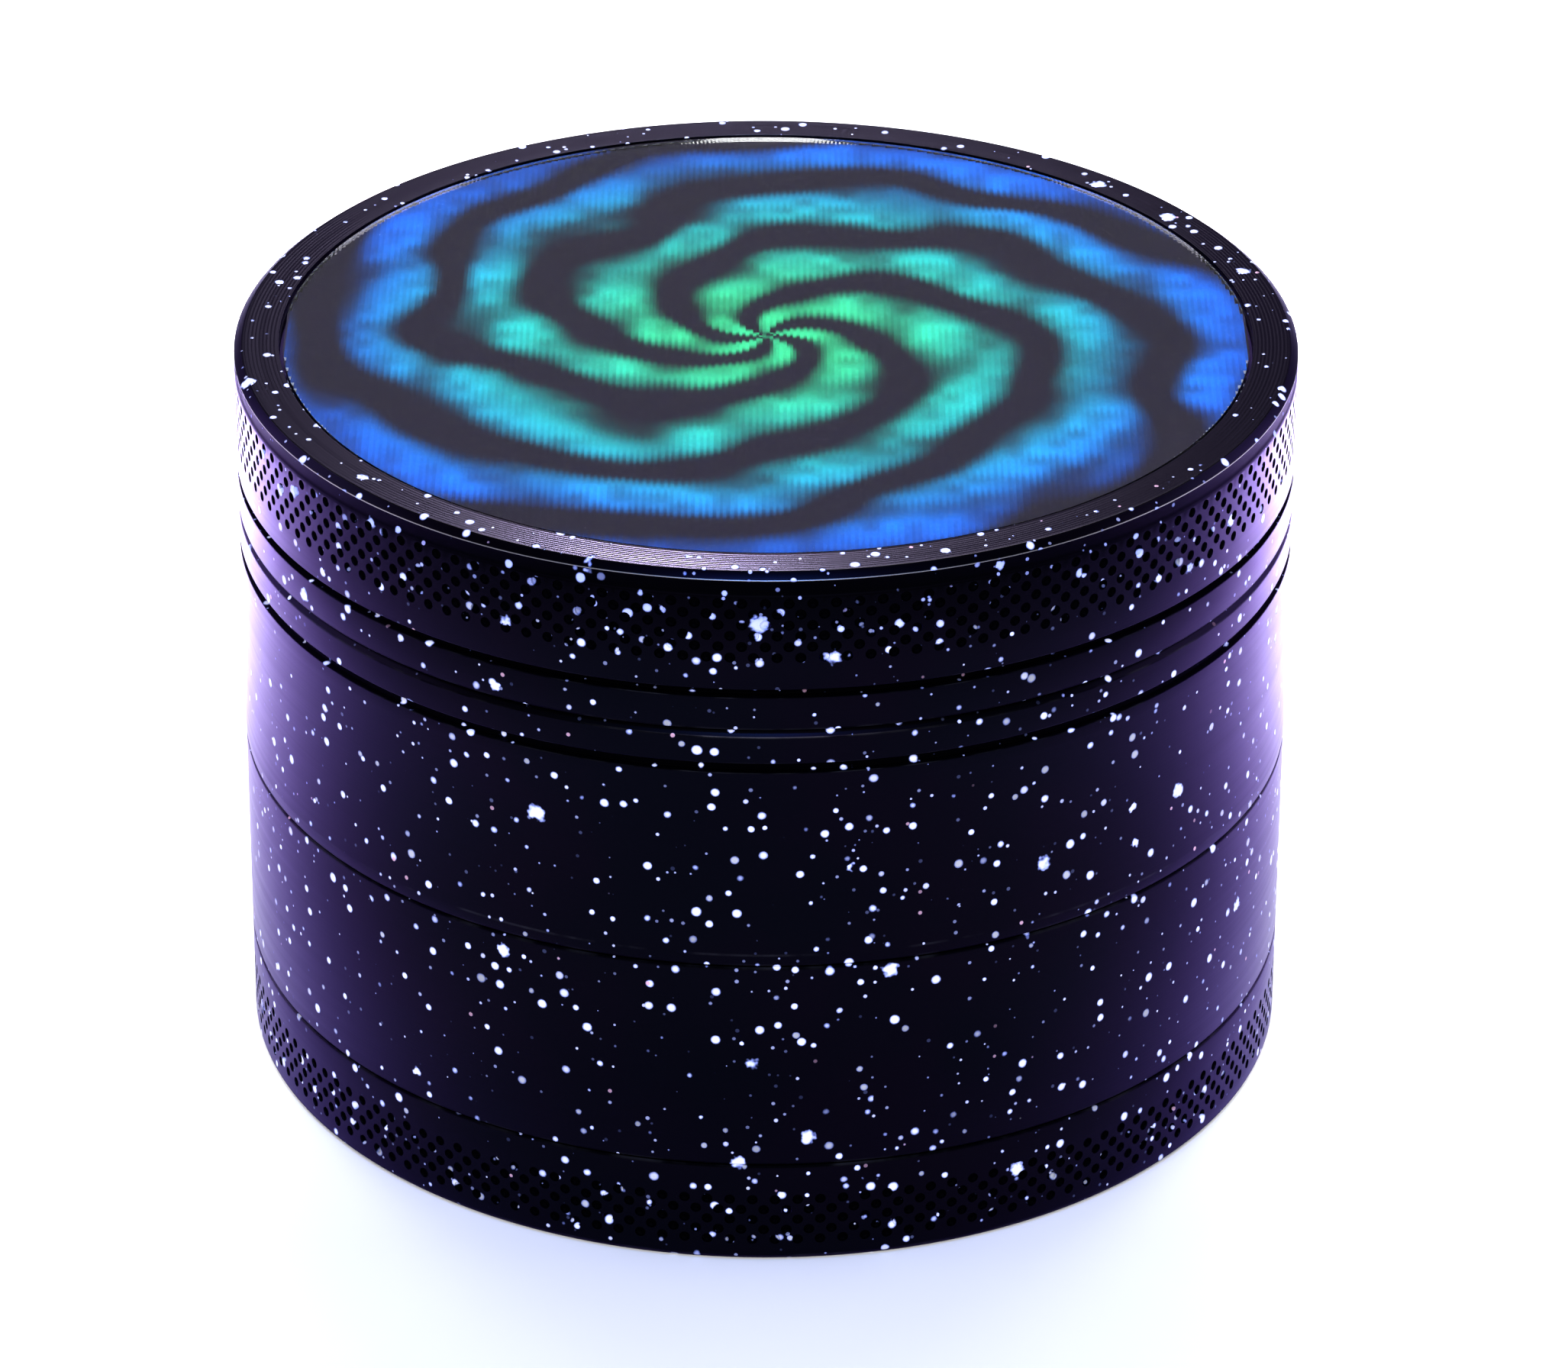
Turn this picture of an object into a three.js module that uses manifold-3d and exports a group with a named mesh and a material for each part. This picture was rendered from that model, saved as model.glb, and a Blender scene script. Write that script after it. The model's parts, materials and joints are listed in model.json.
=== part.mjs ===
// A four-piece herb grinder, 63 mm across and 45 mm high, in millimetres, +Z up, standing on z = 0.
// From the top: a toothed lid with a lenticular picture card, a toothed grinding chamber with a
// perforated floor, a storage chamber with a screen in its floor, and a shallow pollen catcher.
// The lid turns on a nylon glide ring and is held by two magnets. The lower pieces screw together.
import * as THREE from "three";
import { mergeVertices } from "three/addons/utils/BufferGeometryUtils.js";
import Module from "manifold-3d";

const wasm = await Module();
wasm.setup();

// ---- driving dimensions ----
const BODY_R = 31.5; // outer radius of every metal piece
const HEIGHT = 45; // floor to the lid's rim
const CATCHER_TOP = 6.5; // seam between pollen catcher and storage chamber
const STORAGE_TOP = 19.8; // seam between storage chamber and grinding chamber
const SHOULDER = 35.1; // seam between grinding chamber and lid
const SEAM_GAP = 0.05; // daylight left at each seam
const SEGMENTS = 40; // facets round every turned piece
const EDGE = 0.25; // chamfer on the outer edges at a seam

// ---- the picture card in the lid ----
const RECESS_R = 28.8;
const RECESS_FLOOR = HEIGHT - 0.9;
const CARD_R = 28.6;
const ADHESIVE_T = 0.15;
const PRINT_T = 0.2;
const LENS_T = 0.4;
const LAYER_GAP = 0.02; // daylight between the layers

// ---- lid ----
const RIM_BEVEL_R = 0.5; // the bevel's width on the rim's face
const RIM_BEVEL_Z = 0.4; // and its height on the wall
const PLATE_BOTTOM = 41.4; // underside of the lid's plate
const LID_BORE_R = 29.0;
const LID_GROOVE = { z: 37.5, half: 0.26, depth: 0.5 }; // decorative groove: middle, half-width, depth
const GLIDE_Z = 37.2; // middle of the nylon ring
const GLIDE_H = 1.4;
const GLIDE_IN_R = 28.65;
const GLIDE_OUT_R = 29.75;
const GLIDE_FIT = 0.15; // play of the ring in its groove in the lid

// ---- grinding chamber ----
const COLLAR_R = 28.5; // raised wall that the lid turns round
const COLLAR_TOP = 40.9;
const BOWL_R = 27.0;
const BOWL_FLOOR = 31.0;
const FLOOR_T = 2.8;
const CHAMBER_GROOVE = { z: 32.75, half: 0.32, depth: 0.4 };
const SHOULDER_EDGE = 0.4; // chamfer under the lid's skirt
const WAIST = 0.22; // depth of the shallow finger waist
const WAIST_LOW = 20.6;
const HOLE_R = 1.7;
const HOLE_SEGMENTS = 12;

// ---- teeth and holes: rings of [radius, count], lid and chamber rings alternate ----
const CHAMBER_RINGS = [[9.4, 6], [15.4, 10], [21.4, 12]];
const LID_RINGS = [[12.4, 8], [18.4, 10], [24.4, 14]];
const TOOTH_LENGTH = 3.8; // along its ring
const TOOTH_WIDTH = 2.2; // across its ring
const TOOTH_HEIGHT = 8.4;
const TOOTH_TIP = 0.72; // the tip's size as a share of the root's
const TOOTH_SINK = 0.6; // how far a tooth's root runs into its plate

// ---- magnets ----
const MAGNET_R = 4.0;
const MAGNET_H = 3.0;
const MAGNET_FIT = 0.1;
const MAGNET_SEGMENTS = 24;
const POST_R = 5.5;
const CHAMBER_POST_TOP = 37.9;
const LID_POST_BOTTOM = 38.3;

// ---- threads: right-handed, one start, a ridge on the spigot between the turns of one in the nut ----
const PITCH = 1.4;
const SPIGOT_R = 28.7;
const SPIGOT_CREST_R = 29.45;
const NUT_R = 29.75;
const NUT_CREST_R = 28.95;
const RIDGE_ROOT_W = 0.75; // the spigot ridge's width along the axis, at its root and at its crest
const RIDGE_CREST_W = 0.3;
const THREAD_PLAY = 0.15; // along the axis, on each flank
const THREAD_SINK = 0.4; // how far a ridge's root runs into its wall
const THREAD_START = 0.6; // from a spigot's end to the middle of its ridge's first turn
const CHAMBER_SPIGOT = { length: 4.4, turns: 2.2, nutFrom: -0.8, nutTo: 1.75 };
const STORAGE_SPIGOT = { length: 3.4, turns: 1.5, nutFrom: -0.65, nutTo: 1.05 };
const NUT_RELIEF = 0.4; // room under the chamber's spigot

// ---- storage chamber and screen ----
const STORAGE_R = 28.1;
const SCREEN_LEDGE = 6.4;
const SCREEN_LEDGE_R = 26.6;
const MESH_R = 27.9;
const MESH_T = 0.3;
const RETAINER_IN_R = 26.8;
const RETAINER_OUT_R = 27.95;
const RETAINER_H = 1.8;

// ---- pollen catcher ----
const CATCHER_FLOOR = 1.5;
const CATCHER_BOWL_R = 27.5;
const CATCHER_STEP = 2.9; // where the threaded bore meets the bowl
const FOOT_BEVEL = 0.35;

// A closed BufferGeometry as a manifold-3d solid.
function solid(geometry) {
  geometry.deleteAttribute("normal");
  geometry.deleteAttribute("uv");
  const merged = mergeVertices(geometry, 1e-4);
  return new wasm.Manifold(
    new wasm.Mesh({
      numProp: 3,
      vertProperties: merged.attributes.position.array,
      triVerts: new Uint32Array(merged.index.array),
    }),
  );
}

// A manifold-3d solid as a BufferGeometry with flat faces.
function geometryOf(made) {
  const mesh = made.getMesh();
  const geometry = new THREE.BufferGeometry();
  geometry.setAttribute("position", new THREE.BufferAttribute(mesh.vertProperties, 3));
  geometry.setIndex(new THREE.BufferAttribute(mesh.triVerts, 1));
  const flat = geometry.toNonIndexed();
  flat.computeVertexNormals();
  return flat;
}

// Turns a profile of [radius, z] about Z. The profile runs up the outside and down the inside, and
// starts and ends on the axis or closes on itself.
function turned(profile, segments = SEGMENTS) {
  const points = profile.map(([r, z]) => new THREE.Vector2(r, z));
  if (profile[0][0] > 0) points.push(points[0].clone());
  return new THREE.LatheGeometry(points, segments).rotateX(Math.PI / 2);
}

// A plain ring of rectangular section, or a disc where the inner radius is 0.
function ring(inner, outer, low, height, segments = SEGMENTS) {
  const high = low + height;
  return turned([[inner, low], [outer, low], [outer, high], [inner, high]], segments);
}

// A helical ridge with a trapezoid section, from inR to outR. It rises one pitch a turn and passes
// z = low where its turn count is 0, straight in front of the axis. Its steps fall midway between the
// edges of the turned walls, so that no edge of one runs through an edge of the other.
function ridge(inR, outR, inW, outW, low, from, to) {
  const first = Math.round(from * SEGMENTS);
  const last = Math.round(to * SEGMENTS);
  const section = [[inR, -inW / 2], [outR, -outW / 2], [outR, outW / 2], [inR, inW / 2]];
  const position = [];
  for (let i = first; i <= last; i += 1) {
    const turn = (i + 0.5) / SEGMENTS;
    const angle = turn * 2 * Math.PI;
    const z = low + turn * PITCH;
    for (const [r, dz] of section) position.push(r * Math.sin(angle), -r * Math.cos(angle), z + dz);
  }
  const index = [0, 1, 2, 0, 2, 3];
  for (let i = 0; i < last - first; i += 1)
    for (let j = 0; j < 4; j += 1) {
      const here = i * 4 + j;
      const next = i * 4 + ((j + 1) % 4);
      index.push(here, next + 4, next, here, here + 4, next + 4);
    }
  const end = (last - first) * 4;
  index.push(end, end + 2, end + 1, end, end + 3, end + 2);
  const geometry = new THREE.BufferGeometry();
  geometry.setAttribute("position", new THREE.Float32BufferAttribute(position, 3));
  geometry.setIndex(index);
  return geometry;
}

// The spigot ridge's width at a radius; its flanks slope evenly from root to crest.
function ridgeWidth(radius) {
  const slope = (RIDGE_ROOT_W - RIDGE_CREST_W) / (SPIGOT_CREST_R - SPIGOT_R);
  return RIDGE_ROOT_W - slope * (radius - SPIGOT_R);
}

// The nut ridge's width at a radius: what the spigot's turns leave, less the play.
function nutWidth(radius) {
  return PITCH - ridgeWidth(radius) - 2 * THREAD_PLAY;
}

function spigotThread(spigotLow, { turns }) {
  const inR = SPIGOT_R - THREAD_SINK;
  const low = spigotLow + THREAD_START;
  return solid(ridge(inR, SPIGOT_CREST_R, ridgeWidth(inR), RIDGE_CREST_W, low, 0, turns));
}

function nutThread(spigotLow, { nutFrom, nutTo }) {
  const outR = NUT_R + THREAD_SINK;
  const low = spigotLow + THREAD_START + PITCH / 2;
  return solid(ridge(NUT_CREST_R, outR, nutWidth(NUT_CREST_R), nutWidth(outR), low, nutFrom, nutTo));
}

// Rings of pieces: calls make(ring radius) for each place and turns it into place.
function around(rings, offset, make) {
  const placed = [];
  for (const [radius, count] of rings)
    for (let i = 0; i < count; i += 1) {
      const piece = make();
      piece.translate(radius, 0, 0);
      piece.rotateZ(((i + offset) / count) * 2 * Math.PI);
      placed.push(solid(piece));
    }
  return placed;
}

// One diamond tooth standing on z = low (pointing up) or hanging from it (pointing down).
function tooth(low, up) {
  const height = TOOTH_HEIGHT + TOOTH_SINK;
  const radii = up ? [TOOTH_TIP, 1] : [1, TOOTH_TIP];
  return new THREE.CylinderGeometry(...radii, height, 4)
    .rotateX(Math.PI / 2)
    .scale(TOOTH_WIDTH / 2, TOOTH_LENGTH / 2, 1)
    .translate(0, 0, low + (up ? 1 : -1) * (height / 2 - TOOTH_SINK));
}

// What is cut for one hole in the grinding chamber's floor, 1 mm proud of it above and below.
function floorHole() {
  return new THREE.CylinderGeometry(HOLE_R, HOLE_R, FLOOR_T + 2, HOLE_SEGMENTS)
    .rotateX(Math.PI / 2)
    .translate(0, 0, BOWL_FLOOR - FLOOR_T / 2);
}

// A groove with slightly sloping sides, as profile points going up an outer wall.
const groove = ({ z, half, depth }) => [
  [BODY_R, z - half],
  [BODY_R - depth, z - 0.8 * half],
  [BODY_R - depth, z + 0.8 * half],
  [BODY_R, z + half],
];

// The lid's wall with its rim, bored through; the plate fills its upper end.
function lidShell() {
  const low = SHOULDER + SEAM_GAP;
  const glideR = GLIDE_OUT_R + GLIDE_FIT;
  const glideLow = GLIDE_Z - GLIDE_H / 2 - GLIDE_FIT;
  const glideHigh = GLIDE_Z + GLIDE_H / 2 + GLIDE_FIT;
  return turned([
    [RECESS_R, PLATE_BOTTOM],
    [LID_BORE_R, PLATE_BOTTOM],
    [LID_BORE_R, glideHigh],
    [glideR, glideHigh],
    [glideR, glideLow],
    [LID_BORE_R, glideLow],
    [LID_BORE_R, low],
    [BODY_R - EDGE, low],
    [BODY_R, low + EDGE],
    ...groove(LID_GROOVE),
    [BODY_R, HEIGHT - RIM_BEVEL_Z],
    [BODY_R - RIM_BEVEL_R, HEIGHT],
    [RECESS_R, HEIGHT],
  ]);
}

// The lid's plate with its teeth and the magnet's post.
function lidPlate() {
  const pocketR = MAGNET_R + MAGNET_FIT;
  const body = turned([
    [0, PLATE_BOTTOM],
    [pocketR, PLATE_BOTTOM],
    [pocketR, LID_POST_BOTTOM],
    [POST_R, LID_POST_BOTTOM],
    [POST_R, PLATE_BOTTOM],
    [RECESS_R - LAYER_GAP, PLATE_BOTTOM],
    [RECESS_R - LAYER_GAP, RECESS_FLOOR],
    [0, RECESS_FLOOR],
  ]);
  const teeth = around(LID_RINGS, 0.5, () => tooth(PLATE_BOTTOM, false));
  return geometryOf(wasm.Manifold.union([solid(body), ...teeth]));
}

// The grinding chamber's wall with its collar and spigot, bored through; the floor spans its bore.
function grindingChamber() {
  const low = STORAGE_TOP + SEAM_GAP;
  const spigotLow = STORAGE_TOP - CHAMBER_SPIGOT.length;
  const waistTop = CHAMBER_GROOVE.z - CHAMBER_GROOVE.half;
  const waist = [0.15, 0.5, 0.85].map((t) => [
    BODY_R - WAIST * Math.sin(Math.PI * t),
    WAIST_LOW + t * (waistTop - WAIST_LOW),
  ]);
  const body = turned([
    [BOWL_R, spigotLow],
    [SPIGOT_R, spigotLow],
    [SPIGOT_R, low],
    [BODY_R - EDGE, low],
    [BODY_R, low + EDGE],
    [BODY_R, WAIST_LOW],
    ...waist,
    ...groove(CHAMBER_GROOVE),
    [BODY_R, SHOULDER - SHOULDER_EDGE],
    [BODY_R - SHOULDER_EDGE, SHOULDER],
    [COLLAR_R, SHOULDER],
    [COLLAR_R, COLLAR_TOP],
    [BOWL_R, COLLAR_TOP],
  ]);
  return geometryOf(solid(body).add(spigotThread(spigotLow, CHAMBER_SPIGOT)));
}

// The grinding chamber's drilled floor with its teeth and the magnet's post.
function chamberFloor() {
  const underside = BOWL_FLOOR - FLOOR_T;
  const pocketR = MAGNET_R + MAGNET_FIT;
  const pocketFloor = CHAMBER_POST_TOP - MAGNET_H - MAGNET_FIT;
  const body = turned([
    [0, underside],
    [BOWL_R - LAYER_GAP, underside],
    [BOWL_R - LAYER_GAP, BOWL_FLOOR],
    [POST_R, BOWL_FLOOR],
    [POST_R, CHAMBER_POST_TOP],
    [pocketR, CHAMBER_POST_TOP],
    [pocketR, pocketFloor],
    [0, pocketFloor],
  ]);
  const teeth = around(CHAMBER_RINGS, 0, () => tooth(BOWL_FLOOR, true));
  const holes = around(LID_RINGS, 0, floorHole);
  return geometryOf(wasm.Manifold.union([solid(body), ...teeth]).subtract(wasm.Manifold.union(holes)));
}

function storageChamber() {
  const low = CATCHER_TOP + SEAM_GAP;
  const spigotLow = CATCHER_TOP - STORAGE_SPIGOT.length;
  const matingLow = STORAGE_TOP - CHAMBER_SPIGOT.length;
  const nutLow = matingLow - NUT_RELIEF;
  const body = turned([
    [SCREEN_LEDGE_R, spigotLow],
    [SPIGOT_R, spigotLow],
    [SPIGOT_R, low],
    [BODY_R - EDGE, low],
    [BODY_R, low + EDGE],
    [BODY_R, STORAGE_TOP - EDGE],
    [BODY_R - EDGE, STORAGE_TOP],
    [NUT_R, STORAGE_TOP],
    [NUT_R, nutLow],
    [STORAGE_R, nutLow],
    [STORAGE_R, SCREEN_LEDGE],
    [SCREEN_LEDGE_R, SCREEN_LEDGE],
  ]);
  const spigot = spigotThread(spigotLow, STORAGE_SPIGOT);
  const nut = nutThread(matingLow, CHAMBER_SPIGOT);
  return geometryOf(wasm.Manifold.union([solid(body), spigot, nut]));
}

function pollenCatcher() {
  const body = turned([
    [0, 0],
    [BODY_R - FOOT_BEVEL, 0],
    [BODY_R, FOOT_BEVEL],
    [BODY_R, CATCHER_TOP - EDGE],
    [BODY_R - EDGE, CATCHER_TOP],
    [NUT_R, CATCHER_TOP],
    [NUT_R, CATCHER_STEP],
    [CATCHER_BOWL_R, CATCHER_STEP],
    [CATCHER_BOWL_R, CATCHER_FLOOR],
    [0, CATCHER_FLOOR],
  ]);
  const nut = nutThread(CATCHER_TOP - STORAGE_SPIGOT.length, STORAGE_SPIGOT);
  return geometryOf(solid(body).add(nut));
}

const coatedMetal = { color: 0x0c0b14, roughness: 0.42, metalness: 0.6 };
const nickelPlate = { color: 0xb9bcc2, roughness: 0.22, metalness: 1 };
const stainlessWire = { color: 0x9a9ca0, roughness: 0.35, metalness: 1 };
const bareAluminium = { color: 0xa9abb0, roughness: 0.4, metalness: 1 };
const nylon = { color: 0xf0efe8, roughness: 0.45, metalness: 0 };
const adhesive = { color: 0xd8d6cc, roughness: 0.7, metalness: 0 };
const printedCard = { color: 0x14926a, roughness: 0.5, metalness: 0 };
const clearPlastic = { color: 0xe8f4f4, roughness: 0.1, metalness: 0 };

const grinder = new THREE.Group();

function add(name, geometry, look) {
  const mesh = new THREE.Mesh(geometry, new THREE.MeshStandardMaterial(look));
  mesh.name = name;
  grinder.add(mesh);
}

// The four turned bodies, from the bottom up. The chamber and the lid are each cut from one billet: wall
// and floor are two nodes, so that both are simple shapes.
add("pollen_catcher", pollenCatcher(), coatedMetal);
add("storage_chamber", storageChamber(), coatedMetal);
add("grinding_chamber", grindingChamber(), coatedMetal);
add("chamber_floor", chamberFloor(), coatedMetal);
add("lid_shell", lidShell(), coatedMetal);
add("lid_plate", lidPlate(), coatedMetal);

// The screen lies on its ledge under its retaining ring.
const meshLow = SCREEN_LEDGE + SEAM_GAP;
const retainerLow = meshLow + MESH_T + SEAM_GAP;
add("screen_mesh", ring(0, MESH_R, meshLow, MESH_T), stainlessWire);
add(
  "screen_retaining_ring",
  ring(RETAINER_IN_R, RETAINER_OUT_R, retainerLow, RETAINER_H),
  bareAluminium,
);

// A magnet in each centre post, face to face when the lid is on.
const magnet = (low) => ring(0, MAGNET_R, low, MAGNET_H, MAGNET_SEGMENTS);
add("chamber_magnet", magnet(CHAMBER_POST_TOP - MAGNET_H - MAGNET_FIT / 2), nickelPlate);
add("lid_magnet", magnet(LID_POST_BOTTOM + MAGNET_FIT / 2), nickelPlate);
add("lid_glide_ring", ring(GLIDE_IN_R, GLIDE_OUT_R, GLIDE_Z - GLIDE_H / 2, GLIDE_H), nylon);

// The picture card's three layers, bottom up.
const adhesiveLow = RECESS_FLOOR + LAYER_GAP;
const printLow = adhesiveLow + ADHESIVE_T + LAYER_GAP;
const lensLow = printLow + PRINT_T + LAYER_GAP;
add("picture_adhesive_disc", ring(0, CARD_R, adhesiveLow, ADHESIVE_T), adhesive);
add("picture_print", ring(0, CARD_R, printLow, PRINT_T), printedCard);
add("picture_lens_sheet", ring(0, CARD_R, lensLow, LENS_T), clearPlastic);

export default grinder;
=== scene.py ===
# %% [markdown]
# # A four-piece herb grinder
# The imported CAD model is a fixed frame: it says where each piece is, how big it is and how it moves. This
# notebook gives each piece its finished surface: knurled and speckled metal, a lenticular picture,
# diamond teeth, real threads, a woven screen. Every surface is worked out with numpy as whole arrays,
# because a turned part is simply a function of two parameters, the place along its outline and the angle
# round its axis.

# %% Load the frame
import json
import math

import bpy
import numpy as np
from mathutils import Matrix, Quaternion, Vector
from mathutils.geometry import delaunay_2d_cdt


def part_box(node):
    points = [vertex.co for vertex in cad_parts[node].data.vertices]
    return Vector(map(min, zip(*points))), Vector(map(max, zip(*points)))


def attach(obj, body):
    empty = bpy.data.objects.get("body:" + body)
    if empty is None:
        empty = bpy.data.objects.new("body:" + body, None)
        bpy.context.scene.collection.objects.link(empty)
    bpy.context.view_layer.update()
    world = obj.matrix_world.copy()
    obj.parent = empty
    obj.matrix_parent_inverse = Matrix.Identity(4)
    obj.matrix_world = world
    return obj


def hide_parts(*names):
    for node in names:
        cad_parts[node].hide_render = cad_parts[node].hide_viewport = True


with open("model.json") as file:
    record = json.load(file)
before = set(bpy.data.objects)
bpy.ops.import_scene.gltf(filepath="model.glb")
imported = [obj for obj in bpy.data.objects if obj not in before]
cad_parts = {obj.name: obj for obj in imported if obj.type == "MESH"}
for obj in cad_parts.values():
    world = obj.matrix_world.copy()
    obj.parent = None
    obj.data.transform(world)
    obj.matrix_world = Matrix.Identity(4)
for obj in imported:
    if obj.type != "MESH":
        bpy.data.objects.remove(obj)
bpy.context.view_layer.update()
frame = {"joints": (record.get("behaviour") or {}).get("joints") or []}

# %% [markdown]
# ## Sizes
# Lengths are in millimetres here and become metres when a mesh is made. What the frame knows is read from
# it: the outer sizes from the boxes of its nodes, and the three seams from the joints, which sit on them.
# The wall thicknesses and the small edges follow the CAD's own driving dimensions.

# %% Sizes from the frame
MM = 0.001


def span(node):
    """Lowest and highest corner of a CAD node, in millimetres."""
    low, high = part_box(node)
    return np.array(low) / MM, np.array(high) / MM


def seam(joint):
    """Height of the seam that a joint sits on, in millimetres."""
    return next(j["pos_m"][2] for j in frame["joints"] if j["name"] == joint) / MM


BODY_R = span("pollen_catcher")[1][0]
HEIGHT = span("lid_shell")[1][2]
CATCHER_TOP = seam("storage_unscrew")
STORAGE_TOP = seam("grinder_unscrew")
SHOULDER = seam("lid_turn")
SPIGOT_LOW = span("grinding_chamber")[0][2]
STORAGE_SPIGOT_LOW = span("storage_chamber")[0][2]
COLLAR_TOP = span("grinding_chamber")[1][2]
CARD_R = span("picture_print")[1][0]
SEAM_GAP = 0.05
print(f"{2 * BODY_R:.1f} mm across, {HEIGHT:.1f} mm high, seams at {CATCHER_TOP}, {STORAGE_TOP}, {SHOULDER}")

# %% Sizes of the turned walls
COLLAR_R = 28.5
BOWL_R = 27.0
BOWL_FLOOR = 31.0
FLOOR_UNDER = 28.2
PLATE_BOTTOM = 41.4
LID_BORE_R = 29.0
RECESS_R = 28.8
RECESS_FLOOR = HEIGHT - 0.9
STORAGE_R = 28.1
SCREEN_LEDGE = 6.4
SCREEN_LEDGE_R = 26.6
CATCHER_FLOOR = 1.5
CATCHER_BOWL_R = 27.5
CATCHER_STEP = 2.9
POST_R = 5.5
MAGNET_FIT = 0.1
HOLE_R = 1.7
WAIST = 0.22
CHAMBER_RINGS = [(9.4, 6), (15.4, 10), (21.4, 12)]
LID_RINGS = [(12.4, 8), (18.4, 10), (24.4, 14)]
CHAMBER_GROOVE = (32.75, 0.30, 0.4)
LID_GROOVE = (37.5, 0.26, 0.5)
LIP = 20.6
RIM_BEVEL = 0.5
RIM_LOW = HEIGHT - 0.4

# %% [markdown]
# ## Turned surfaces
# A lathe cuts an outline and the work spins, so the surface is point (i, j) = (r_i cos a_j, r_i sin a_j,
# z_i). An outline is a short list of corners, and each corner says how far its edge is broken. Real
# machined edges are never sharp: the small round is what catches the light and makes metal read as metal.

# %% Outlines with broken edges
COLUMNS = 300


def unit(v):
    """A vector at length one."""
    return v / np.linalg.norm(v)


def outline(corners, closed=False, steps=3):
    """Points (radius, height, edge) from corners (radius, height, rounding).

    A rounded corner C becomes the curve (1-t)^2 A + 2t(1-t) C + t^2 B, where A and B lie the rounding away
    from C on its two sides. The edge value is 1 on outward rounds, where a coat wears first.
    """
    place = np.array([c[:2] for c in corners], float)
    count = len(place)
    points = []
    for i, (_, _, rounding) in enumerate(corners):
        corner = place[i]
        ends = not closed and i in (0, count - 1)
        if rounding == 0 or ends:
            points.append([[*corner, 0.0]])
            continue
        before = unit(place[i - 1] - corner)
        after = unit(place[(i + 1) % count] - corner)
        t = np.linspace(0, 1, steps + 1)[:, None]
        a, b = corner + rounding * before, corner + rounding * after
        curve = (1 - t) ** 2 * a + 2 * t * (1 - t) * corner + t**2 * b
        outward = before[0] * after[1] - before[1] * after[0] < 0
        edge = np.sin(np.pi * t) * outward
        points.append(np.hstack([curve, edge]))
    return np.vstack(points)


# %% Grids round the axis
def ring_points(rings, columns=COLUMNS):
    """Point (i, j) = (r_i cos a_j, r_i sin a_j, z_i), with a_j evenly round the axis."""
    angle = np.arange(columns) * 2 * np.pi / columns
    r, z = rings[:, :1], rings[:, 1:2]
    return np.stack([r * np.cos(angle), r * np.sin(angle), np.repeat(z, columns, 1)], 2).reshape(-1, 3)


def bands(lower, upper):
    """Quads between rings of point numbers: lower and upper are (n, columns) arrays of indices."""
    quads = [lower, np.roll(lower, -1, 1), np.roll(upper, -1, 1), upper]
    return np.stack(quads, 2).reshape(-1, 4)


def turned(rings, closed=False, skip=(), columns=COLUMNS):
    """A surface of revolution as (points, edge values, face arrays, ring indices).

    Rings on the axis shrink to one pole. skip names the bands that are left open for a knurl.
    """
    index = np.arange(len(rings) * columns).reshape(len(rings), columns)
    low = np.arange(len(rings) if closed else len(rings) - 1)
    high = (low + 1) % len(rings)
    on_axis = rings[:, 0] < 1e-6
    plain = ~(on_axis[low] | on_axis[high] | np.isin(low, skip))
    faces = [bands(index[low[plain]], index[high[plain]])]
    if on_axis[0]:
        faces.append(np.stack([np.full(columns, index[0, 0]), np.roll(index[1], -1), index[1]], 1))
    if on_axis[-1]:
        faces.append(np.stack([index[-2], np.roll(index[-2], -1), np.full(columns, index[-1, 0])], 1))
    return ring_points(rings, columns), np.repeat(rings[:, 2], columns), faces, index


# %% [markdown]
# ## Knurl
# The grip bands are rolled with a wheel of blunt pins, which leaves round pits in staggered rows with
# flat metal between them. A displaced grid would need a very fine mesh for round pits, so each pit is a
# cell of its own: a rectangle whose inside is a ring of twelve points, and two deeper rings. The cells
# share the corners of a plain lattice, so the band stays closed and joins the walls above and below it.

# %% Knurl cells
PITS_ROUND = COLUMNS // 2
PIT_ROW = 0.68
PIT_SIDES = 12
PIT_RADII = np.array([0.32, 0.28, 0.17])
PIT_DEPTHS = np.array([0.0, 0.13, 0.22])


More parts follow.
